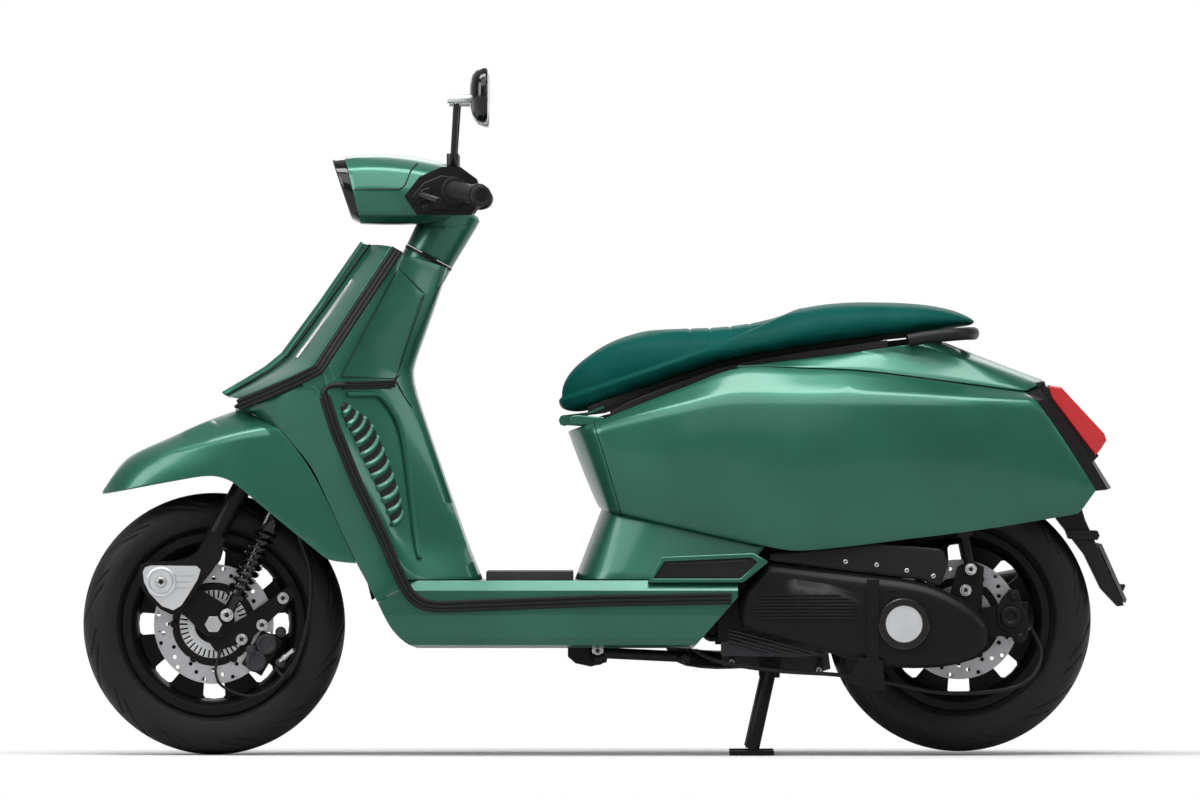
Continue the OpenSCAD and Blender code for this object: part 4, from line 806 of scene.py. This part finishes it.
# headlamp lens: a shallow dome set back in the black surround, its shape in shares of the opening
lens = {"dx": -236.2, "half": 63, "low": 972, "high": 1068, "lean": 0.336, "domeMm": 4.2,
        "shape": [(0, 0), (0.7, 0.02), (0.93, 0.14), (1, 0.49), (0.84, 0.79), (0.5, 0.95), (0, 1)],
        "reaches": [1, 0.96, 0.88, 0.75, 0.58, 0.38, 0.18, 0.02]}
lensTall = lens["high"] - lens["low"]
lensMiddle = atFront(lens["dx"], 0, lens["low"] + lensTall / 2)
dome = [Vector((lens["domeMm"] * (1 - share * share), 0, 0)) for share in lens["reaches"]]
rows = []
for w, h in lens["shape"] + [(-w, h) for w, h in lens["shape"][-2:0:-1]]:
    arm = Vector(((h - 0.5) * lensTall * lens["lean"], w * lens["half"], (h - 0.5) * lensTall))
    rows.append([(lensMiddle + arm * share + rise) / 1000 for share, rise in zip(lens["reaches"], dome)])
piece = addPiece("headlamp_lens", gridMesh("headlamp_lens", rows, True), lampClear, "steering")
rounder = piece.modifiers.new("rounder", "SUBSURF")
rounder.levels = rounder.render_levels = 2

# mirror glasses: shallow domes on the rider's side of both heads, square-shouldered ovals
mirror = {"dx": -495, "asideMm": 250, "z": 1188, "halfWide": 64, "halfTall": 46.5, "shoulder": 0.72,
          "points": 56, "dome": [(1, 0.2), (0.97, 1.0), (0.8, 1.6), (0.5, 2.2), (0.04, 2.5)]}


def shouldered(value):
    return math.copysign(abs(value) ** mirror["shoulder"], value)


work = bmesh.new()
mirrorTurns = [2 * math.pi * k / mirror["points"] for k in range(mirror["points"])]
for side in (1, -1):
    rings = []
    for share, rise in mirror["dome"]:
        ring = []
        for t in mirrorTurns:
            wide = mirror["halfWide"] * shouldered(math.cos(t)) * share
            tall = mirror["halfTall"] * shouldered(math.sin(t)) * share
            ring.append(atFront(mirror["dx"] - rise, side * mirror["asideMm"] + wide, mirror["z"] + tall))
        rings.append(ring)
    bridge(work, rings)
closePiece("mirror_glasses", work, mirrorGlass, "steering", edgeMm=0.1)

# green frames round the black foot pegs, wider at the rear end
pegFrame = {"outer": [(563, 312), (537, 359), (372, 366), (344, 350), (390, 312)],
            "inner": [(552, 320), (532, 350), (376, 357), (364, 349), (396, 320)],
            "backMm": 166, "faceMm": 199.5, "pegMm": 184}
pegLoops = [("outer", "backMm"), ("outer", "faceMm"), ("inner", "faceMm"), ("inner", "pegMm")]
work = bmesh.new()
for side in (1, -1):
    rings = [[atRear(x, side * pegFrame[y], z) for x, z in pegFrame[loop]] for loop, y in pegLoops]
    bridge(work, rings, True)
closePiece("footpeg_frames", work, greenPaint, "chassis", edgeMm=3)

# studs along the top of the pegs
studs = {"count": 26, "pitchMm": 5.4, "first": (388, 196, 351.5), "fall": 0.045,
         "section": [(2, 0), (2, 1.2), (1.2, 1.8)]}
work = bmesh.new()
for k in range(studs["count"]):
    run = studs["pitchMm"] * k
    spot = atRear(*studs["first"]) + Vector((run, 0, -studs["fall"] * run))
    for stud in bothSides([spot]):
        turned(work, studs["section"], stud, (0, stud.y, 0), sides=10)
closePiece("footpeg_studs", work, matRubber, "chassis", edgeMm=0.2)

# transmission cover: fine ribs on its front; the limits give where they start and end at a height
ribs = {"count": 8, "pitchMm": 6, "lowMm": 246, "thickMm": 3.4, "acrossMm": (189, 191.4),
        "frontLimit": [(240, 368), (268, 368), (322, 335)],
        "rearLimit": [(240, 190), (274, 190), (287, 213), (322, 335)]}
work = bmesh.new()
for k in range(ribs["count"]):
    z = ribs["lowMm"] + ribs["pitchMm"] * k
    top = z + ribs["thickMm"]
    ahead = through(ribs["frontLimit"], z)
    behind = through(ribs["rearLimit"], z)
    slab(work, rearAxle, [(ahead, z), (behind, z), (behind, top), (ahead, top)], *ribs["acrossMm"])
closePiece("cover_ribs", work, blackEnamel, "chassis", edgeMm=0.6)

# black collar round the bright clutch cap
clutchCollar = [(32.5, 7.2), (33.5, 9), (44.5, 9), (46.5, 7), (46.5, 0.2), (43.2, 0.2), (43.2, 7.2)]
work = bmesh.new()
capLow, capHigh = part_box("clutch_cap")
capMiddle = (capLow + capHigh) * 500
turned(work, clutchCollar, (capMiddle.x, capLow.y * 1000, capMiddle.z), sides=72, closed=True)
closePiece("clutch_collar", work, glossBlack, "chassis", edgeMm=0.5)

# sump ears with their screws, and the bush that carries the engine
sumpEar = {"spots": [(410, 160), (330, 151), (253, 146)], "acrossMm": (80, 86), "screwUpMm": 8, "screwMm": 4,
           "outline": [(-5, 0), (5, 0), (5, 18), (3, 30), (-3, 30), (-5, 18)]}
engineBush = {"spot": (446, 52, 224), "section": [(19, 0), (19, 40), (16, 46), (10, 46), (9, 42)]}
work = bmesh.new()
for x, z in sumpEar["spots"]:
    slab(work, rearAxle, [(x + a, z + b) for a, b in sumpEar["outline"]], *sumpEar["acrossMm"])
turned(work, engineBush["section"], atRear(*engineBush["spot"]))
closePiece("sump_ears", work, blackEnamel, "chassis", edgeMm=1.2)
earSeats = [atRear(x, sumpEar["acrossMm"][1], z + sumpEar["screwUpMm"]) for x, z in sumpEar["spots"]]
screws("sump_screws", [(p, sumpEar["screwMm"]) for p in earSeats], "chassis")

# cooling fins above the sump, each shorter than the one above it
sumpFins = {"block": [(430, 206), (430, 180), (300, 178), (240, 181), (236, 186), (300, 203)],
            "blockMm": (93, 132.4), "finMm": (132, 136.5), "count": 5, "pitchMm": 6.5, "thickMm": 3,
            "front": (416, 228.5), "rearFrom": 418, "fallMm": 45, "slope": 0.26}
work = bmesh.new()
slab(work, rearAxle, sumpFins["block"], *sumpFins["blockMm"])
for k in range(sumpFins["count"]):
    down = sumpFins["pitchMm"] * k
    front = sumpFins["front"]
    rear = sumpFins["rearFrom"] - (sumpFins["fallMm"] - down) / sumpFins["slope"]
    top = [(front[0], front[1] - down), (rear, front[1] - down - sumpFins["slope"] * (front[0] - rear))]
    slab(work, rearAxle, top + [(x, z - sumpFins["thickMm"]) for x, z in top[::-1]], *sumpFins["finMm"])
closePiece("sump_fins", work, greyAlloy, "chassis", edgeMm=0.7)

# plate that carries the side stand, and the stand's pivot screw
standPlate = {"outline": [(628, 212), (706, 214), (706, 178), (692, 166), (664, 160), (636, 168)],
              "acrossMm": (88, 104), "screw": (652, 127.4, 189.4), "screwMm": 8}
work = bmesh.new()
slab(work, rearAxle, standPlate["outline"], *standPlate["acrossMm"])
closePiece("stand_plate", work, blackEnamel, "chassis", edgeMm=2)
screws("stand_screw", [(atRear(*standPlate["screw"]), standPlate["screwMm"])], "side_stand")

# rear brake: the caliper's outer half with its piston cap and two lugs
rearBrake = {"block": [(-66, 262), (-76, 284), (-90, 300), (-106, 298), (-113, 270), (-125, 246), (-123, 214),
                       (-112, 200), (-98, 204), (-90, 222), (-70, 232)], "blockMm": (102.2, 112),
             "capAt": (-92, 102, 250), "cap": [(20, 9), (20, 16), (17, 19), (10, 19), (9, 16)],
             "lugs": [(-110, 102, 212), (-98, 102, 288)], "lug": [(9, 8), (9, 14), (6, 16)]}
work = bmesh.new()
slab(work, rearAxle, rearBrake["block"], *rearBrake["blockMm"])
turned(work, rearBrake["cap"], atRear(*rearBrake["capAt"]))
for spot in fromRear(rearBrake["lugs"]):
    turned(work, rearBrake["lug"], spot, sides=20)
closePiece("rear_caliper_half", work, blackEnamel, "chassis", edgeMm=2)

# mudguard: cross bracket with a knob, and the grey strip along its rear edge
bracket = {"outline": [(-192, 407), (-250, 405), (-254, 396), (-250, 388), (-198, 390)], "halfMm": 64,
           "knobAt": (-286, 0, 306), "knobAxis": (-1, 0, -0.4),
           "knob": [(5, 0), (5, 8), (7, 9), (7, 13), (5, 15)]}
work = bmesh.new()
slab(work, rearAxle, bracket["outline"], -bracket["halfMm"], bracket["halfMm"])
turned(work, bracket["knob"], atRear(*bracket["knobAt"]), bracket["knobAxis"], sides=20)
closePiece("mudguard_bracket", work, blackAbsAndShade, "chassis", edgeMm=2)
strip = {"outline": [(-249, 383), (-258, 381), (-303, 280), (-300, 274), (-297, 276)], "halfMm": 52}
work = bmesh.new()
slab(work, rearAxle, strip["outline"], -strip["halfMm"], strip["halfMm"])
closePiece("plate_strip", work, greyAbs, "chassis", edgeMm=1)

# headset controls: a raised pod with a rocker and a round button on the outer face of both switch blocks
pod = {"outline": [(-358, 1006), (-380, 1032), (-412, 1045), (-440, 1042), (-444, 990), (-436, 982),
                   (-374, 984)], "acrossMm": (205, 213), "rockerMm": (212, 219),
       "rocker": [(-366, 1006), (-378, 1020), (-392, 1024), (-396, 1002), (-376, 996)],
       "buttonAt": (-384, 205, 986), "button": [(7, 6), (7, 13), (5.5, 15), (2, 15)]}
work = bmesh.new()
slabPair(work, frontAxle, pod["outline"], *pod["acrossMm"])
slabPair(work, frontAxle, pod["rocker"], *pod["rockerMm"])
for spot in bothSides(fromFront([pod["buttonAt"]])):
    turned(work, pod["button"], spot, (0, spot.y, 0), sides=20)
closePiece("switch_pods", work, blackEnamel, "steering", edgeMm=2.5)

# base between the apron's ridge and the tie that covers it; each row: (dx, z) of the ridge, the tie's half
# width, how far the apron slopes back to its edge, and its half width there
tie = {"ridge": [(-274, 921, 27, 47, 111), (-200, 814, 21, 50, 150), (-130, 719, 17.5, 50, 187),
                 (-101, 695, 19, 49, 183), (-65, 673, 24, 35, 152), (-22, 648, 13, 24, 87)],
       "proud": (4.4, 2.2), "sunk": (3, 2), "edge": (12, 4),
       "jointOutMm": 1, "jointAsideMm": 0.5, "jointMm": 1.5}
work = bmesh.new()
rings = []
joint = []
for x, z, half, back, reach in tie["ridge"]:
    share = half / reach
    near = (x + tie["proud"][0], z + tie["proud"][1])
    far = (x - back * share - tie["sunk"][0], z - tie["sunk"][1])
    corners = [(near, -half), (near, half), (far, half), (far, -half)]
    rings.append([atFront(p[0], y, p[1]) for p, y in corners])
    jointX = x - back * share + tie["edge"][0] * share + tie["jointOutMm"]
    joint.append((jointX, half + tie["jointAsideMm"], z + tie["edge"][1] * share))
bridge(work, rings)
closePiece("tie_base", work, greenPaint, "chassis", edgeMm=0.5)
work = bmesh.new()
for side in (1, -1):
    wire(work, fromFront([(x, side * y, z) for x, y, z in joint]), tie["jointMm"], sides=10)
closePiece("tie_joint", work, blackAbsAndShade, "chassis", edgeMm=0.1)

# black base behind the tail lamp with a cap over it, and black fillers above the engine that are painted
# shade for the shaded gap between the panels there
lampBase = {"outline": [(-156, 667), (-174, 650), (-228, 575), (-252, 540), (-240, 528), (-210, 566),
                        (-148, 652)], "halfMm": 70, "capHalfMm": 62,
            "cap": [(-108, 656), (-112, 668), (-154, 675), (-158, 662), (-126, 649)]}
engineBayShade = {"outline": [(404, 330), (404, 372), (352, 388), (290, 384), (290, 352), (340, 346)],
             "acrossMm": (98, 108)}
work = bmesh.new()
slab(work, rearAxle, lampBase["outline"], -lampBase["halfMm"], lampBase["halfMm"])
slab(work, rearAxle, lampBase["cap"], -lampBase["capHalfMm"], lampBase["capHalfMm"])
# the fillers above the engine: painted shade
slabPair(work, rearAxle, engineBayShade["outline"], *engineBayShade["acrossMm"])
closePiece("lamp_base_and_bay_shade", work, blackAbsAndShade, "chassis", edgeMm=1)

# black core inside the leg shield, painted shade: it stands for the shaded inside seen through the shield's
# joints, and closes the view through them
shieldShadeCore = {"outline": [(-34, 628), (-74, 662), (-112, 686), (-144, 712), (-212, 804), (-284, 908),
                          (-330, 902), (-408, 868), (-384, 800), (-346, 698), (-352, 654), (-366, 610),
                          (-300, 570), (-200, 570), (-110, 600)], "halfMm": 32}
work = bmesh.new()
slab(work, frontAxle, shieldShadeCore["outline"], -shieldShadeCore["halfMm"], shieldShadeCore["halfMm"])
closePiece("shield_painted_shade", work, blackAbsAndShade, "chassis", edgeMm=4)

# steering neck: its top, carried up into the headset, and the body's green collar under it with a black seal
# that stops short of it; radii and distances up along the raked axis from the floor
neck = {"ahead": 90, "rakeDeg": 28, "top": [(47.3, 1050), (51, 1118), (44, 1124)],
        "collar": [(38, 980), (45.4, 980), (45.8, 1017), (38, 1017)],
        "seal": [(37, 1010), (46.9, 1014), (46.9, 1019.7), (37, 1019.7)]}
rake = math.radians(neck["rakeDeg"])
neckFoot = atFront(neck["ahead"], 0, 0)
neckUp = (-math.sin(rake), 0, math.cos(rake))
work = bmesh.new()
turned(work, neck["top"], neckFoot, neckUp, sides=48)
closePiece("neck_top", work, greenPaint, "steering", edgeMm=1)
work = bmesh.new()
turned(work, neck["collar"], neckFoot, neckUp, sides=48, closed=True)
closePiece("neck_collar", work, greenPaint, "chassis", edgeMm=1)
work = bmesh.new()
turned(work, neck["seal"], neckFoot, neckUp, sides=48, closed=True)
closePiece("neck_seal", work, blackAbsAndShade, "chassis", edgeMm=0.4)

# under the seat: a black base that moves with it, given by the seat's underside and its depth there; it is
# partly the seat's own base and partly painted shade for the gap between the seat and the body
seatBaseAndShade = {"halfMm": 76.5, "intoSeatMm": 9,
            "underside": [(670, 619, 6), (639, 632, 15), (585, 650, 15), (510, 678, 15), (431, 706, 15),
                          (359, 722, 15), (287, 734, 15), (215, 744, 15), (130, 756, 6), (52, 764, 6)]}
upper = [(x, z + seatBaseAndShade["intoSeatMm"]) for x, z, deep in seatBaseAndShade["underside"]]
lower = [(x, z - deep) for x, z, deep in seatBaseAndShade["underside"]]
work = bmesh.new()
slab(work, rearAxle, upper + lower[::-1], -seatBaseAndShade["halfMm"], seatBaseAndShade["halfMm"])
closePiece("seat_base_and_shade", work, blackAbsAndShade, "seat", edgeMm=1)

# black fillers on the body ahead of the storage box and behind it, painted shade: they stand for the shade in
# the gaps under the seat
fillers = {"ahead": [(620, 590), (620, 618), (640, 614), (656, 608), (656, 590)], "aheadMm": (42, 80),
           "behind": [(150, 716), (150, 742), (130, 747), (60, 755), (36, 756), (30, 744), (70, 728)],
           "behindHalfMm": 62}
work = bmesh.new()
slabPair(work, rearAxle, fillers["ahead"], *fillers["aheadMm"])
slab(work, rearAxle, fillers["behind"], -fillers["behindHalfMm"], fillers["behindHalfMm"])
closePiece("seat_painted_shade_fillers", work, blackAbsAndShade, "chassis", edgeMm=1)

# green ledge of the cowl under the seat's nose
ledge = {"outline": [(640, 596), (640, 610), (660, 611), (690, 614), (702, 611), (702, 596)],
         "acrossMm": (82, 104)}
work = bmesh.new()
slabPair(work, rearAxle, ledge["outline"], *ledge["acrossMm"])
closePiece("cowl_ledge", work, greenPaint, "chassis", edgeMm=2)

# panel line along the headset's shoulder, turning up behind the bright band
headsetJoint = {"radiusMm": 1.1, "line": [(-254, 1020), (-290, 1020.5), (-325, 1020.5), (-338, 1022),
                                          (-346, 1030), (-351, 1042), (-357, 1056), (-368, 1068)]}
headsetSkin = skinTree("nacelle")
work = bmesh.new()
for side in (1, -1):
    seam(work, headsetSkin, headsetJoint["line"], side, headsetJoint["radiusMm"])
closePiece("headset_line", work, blackAbsAndShade, "steering", edgeMm=0.1)
print("stage: details made")

# camera: a long lens square to the left side, as wide as the picture at the object's near face
view = {"distance": 40.0, "height": 0.6408, "along": 0.0062, "nearFace": 0.05, "widthM": 2.166,
        "sensorMm": 36}
camera = bpy.data.objects.new("camera", bpy.data.cameras.new("camera"))
scene.collection.objects.link(camera)
camera.location = (view["along"], view["distance"], view["height"])
camera.rotation_euler = (math.radians(90), 0, math.radians(180))
camera.data.sensor_width = view["sensorMm"]
camera.data.lens = view["sensorMm"] * (view["distance"] - view["nearFace"]) / view["widthM"]
scene.camera = camera

# floor: grey paper near the object, lit so that it takes the real shadow, and plain white to the eye farther
# out; the grey oval round the object, darker than the white beyond, is a painted shadow band
ground = {"half": 60, "grey": 0.5, "shadowOvalM": (1.5, 0.9), "fadeFrom": 0.6, "fadeTo": 1.0}
corners = [(x * ground["half"], y * ground["half"], 0) for x, y in ((-1, -1), (1, -1), (1, 1), (-1, 1))]
floorMesh = bpy.data.meshes.new("studio_floor")
floorMesh.from_pydata(corners, [], [(0, 1, 2, 3)])
floor = bpy.data.objects.new("studio_floor", floorMesh)
scene.collection.objects.link(floor)
paper, tree, shader, place = startMaterial("floor_paper_with_painted_shadow", Roughness=0.9)
# the paper's grey, seen inside the oval, is the tone of the painted shadow band
shader.inputs["Base Color"].default_value = (ground["grey"], ground["grey"], ground["grey"], 1)
rays = addNode(tree, "ShaderNodeLightPath").outputs
seen = rays["Is Camera Ray"]
for other in ("Is Glossy Ray", "Is Transmission Ray"):
    seen = addNode(tree, "ShaderNodeMath", {0: seen, 1: rays[other]}, operation="MAXIMUM").outputs[0]
ovalScale = (1 / ground["shadowOvalM"][0], 1 / ground["shadowOvalM"][1], 0)
oval = addNode(tree, "ShaderNodeMapping", {"Vector": place, "Scale": ovalScale})
far = addNode(tree, "ShaderNodeVectorMath", {0: oval.outputs[0]}, operation="LENGTH")
fading = {"Value": far.outputs["Value"], "From Min": ground["fadeFrom"], "From Max": ground["fadeTo"]}
fade = addNode(tree, "ShaderNodeMapRange", fading, interpolation_type="SMOOTHSTEP")
amount = addNode(tree, "ShaderNodeMath", {0: fade.outputs[0], 1: seen}, operation="MULTIPLY")
glow = addNode(tree, "ShaderNodeEmission", {"Color": (1, 1, 1, 1), "Strength": 1.0})
mixed = addNode(tree, "ShaderNodeMixShader", {0: amount.outputs[0], 1: shader.outputs[0], 2: glow.outputs[0]})
surface = next(n for n in tree.nodes if n.type == "OUTPUT_MATERIAL").inputs["Surface"]
tree.links.new(mixed.outputs[0], surface)
floorMesh.materials.append(paper)

# white paper hangs behind the object; the rest of the studio is a dim grey
studio = {"dim": 0.19, "middle": 0.5, "middleAt": 0.86, "whiteAt": 0.95, "fromY": -0.25, "toY": -1.0}
world = bpy.data.worlds.new("studio")
scene.world = world
world.use_nodes = True
tree = world.node_tree
tree.nodes.clear()
toward = addNode(tree, "ShaderNodeSeparateXYZ", {0: addNode(tree, "ShaderNodeTexCoord").outputs["Generated"]})
backdrop = {"Value": toward.outputs["Y"], "From Min": studio["fromY"], "From Max": studio["toY"]}
behind = addNode(tree, "ShaderNodeMapRange", backdrop)
studioTone = addNode(tree, "ShaderNodeValToRGB", {"Fac": behind.outputs[0]})
studioTone.color_ramp.elements[0].color = (studio["dim"], studio["dim"], studio["dim"], 1)
studioTone.color_ramp.elements[1].position = studio["whiteAt"]
middleTone = studioTone.color_ramp.elements.new(studio["middleAt"])
middleTone.color = (studio["middle"], studio["middle"], studio["middle"], 1)
glow = addNode(tree, "ShaderNodeBackground", {"Color": studioTone.outputs[0], "Strength": 1.0})
addNode(tree, "ShaderNodeOutputWorld", {"Surface": glow.outputs[0]})


def softBox(name, place, aim, size, power):
    light = bpy.data.lights.new(name, "AREA")
    light.shape = "RECTANGLE"
    light.size = size[0]
    light.size_y = size[1]
    light.energy = power
    holder = bpy.data.objects.new(name, light)
    holder.location = place
    holder.rotation_euler = (Vector(aim) - Vector(place)).to_track_quat("-Z", "Y").to_euler()
    scene.collection.objects.link(holder)


# soft boxes: place, aim and size in metres, power in watts
softBox("top_box", (0.3, 1.9, 2.7), (0, 0, 0.5), (4.4, 1.6), 74)
softBox("top_strip", (0.1, 0.55, 3.0), (0, 0.1, 0.6), (4.4, 0.7), 130)
softBox("side_box", (0.4, 5.0, 2.2), (0, 0, 0.5), (3.4, 1.6), 18)
softBox("front_box", (3.4, 1.4, 2.0), (0.5, 0, 0.6), (1.4, 1.8), 62)
softBox("rear_box", (-3.4, 0.9, 1.7), (-0.3, 0, 0.6), (1.2, 1.6), 22)
softBox("rim_box", (-0.5, -3.2, 2.4), (0, 0, 0.6), (3.0, 1.0), 25)
scene.view_settings.view_transform = "Standard"
print("stage: camera and light set")
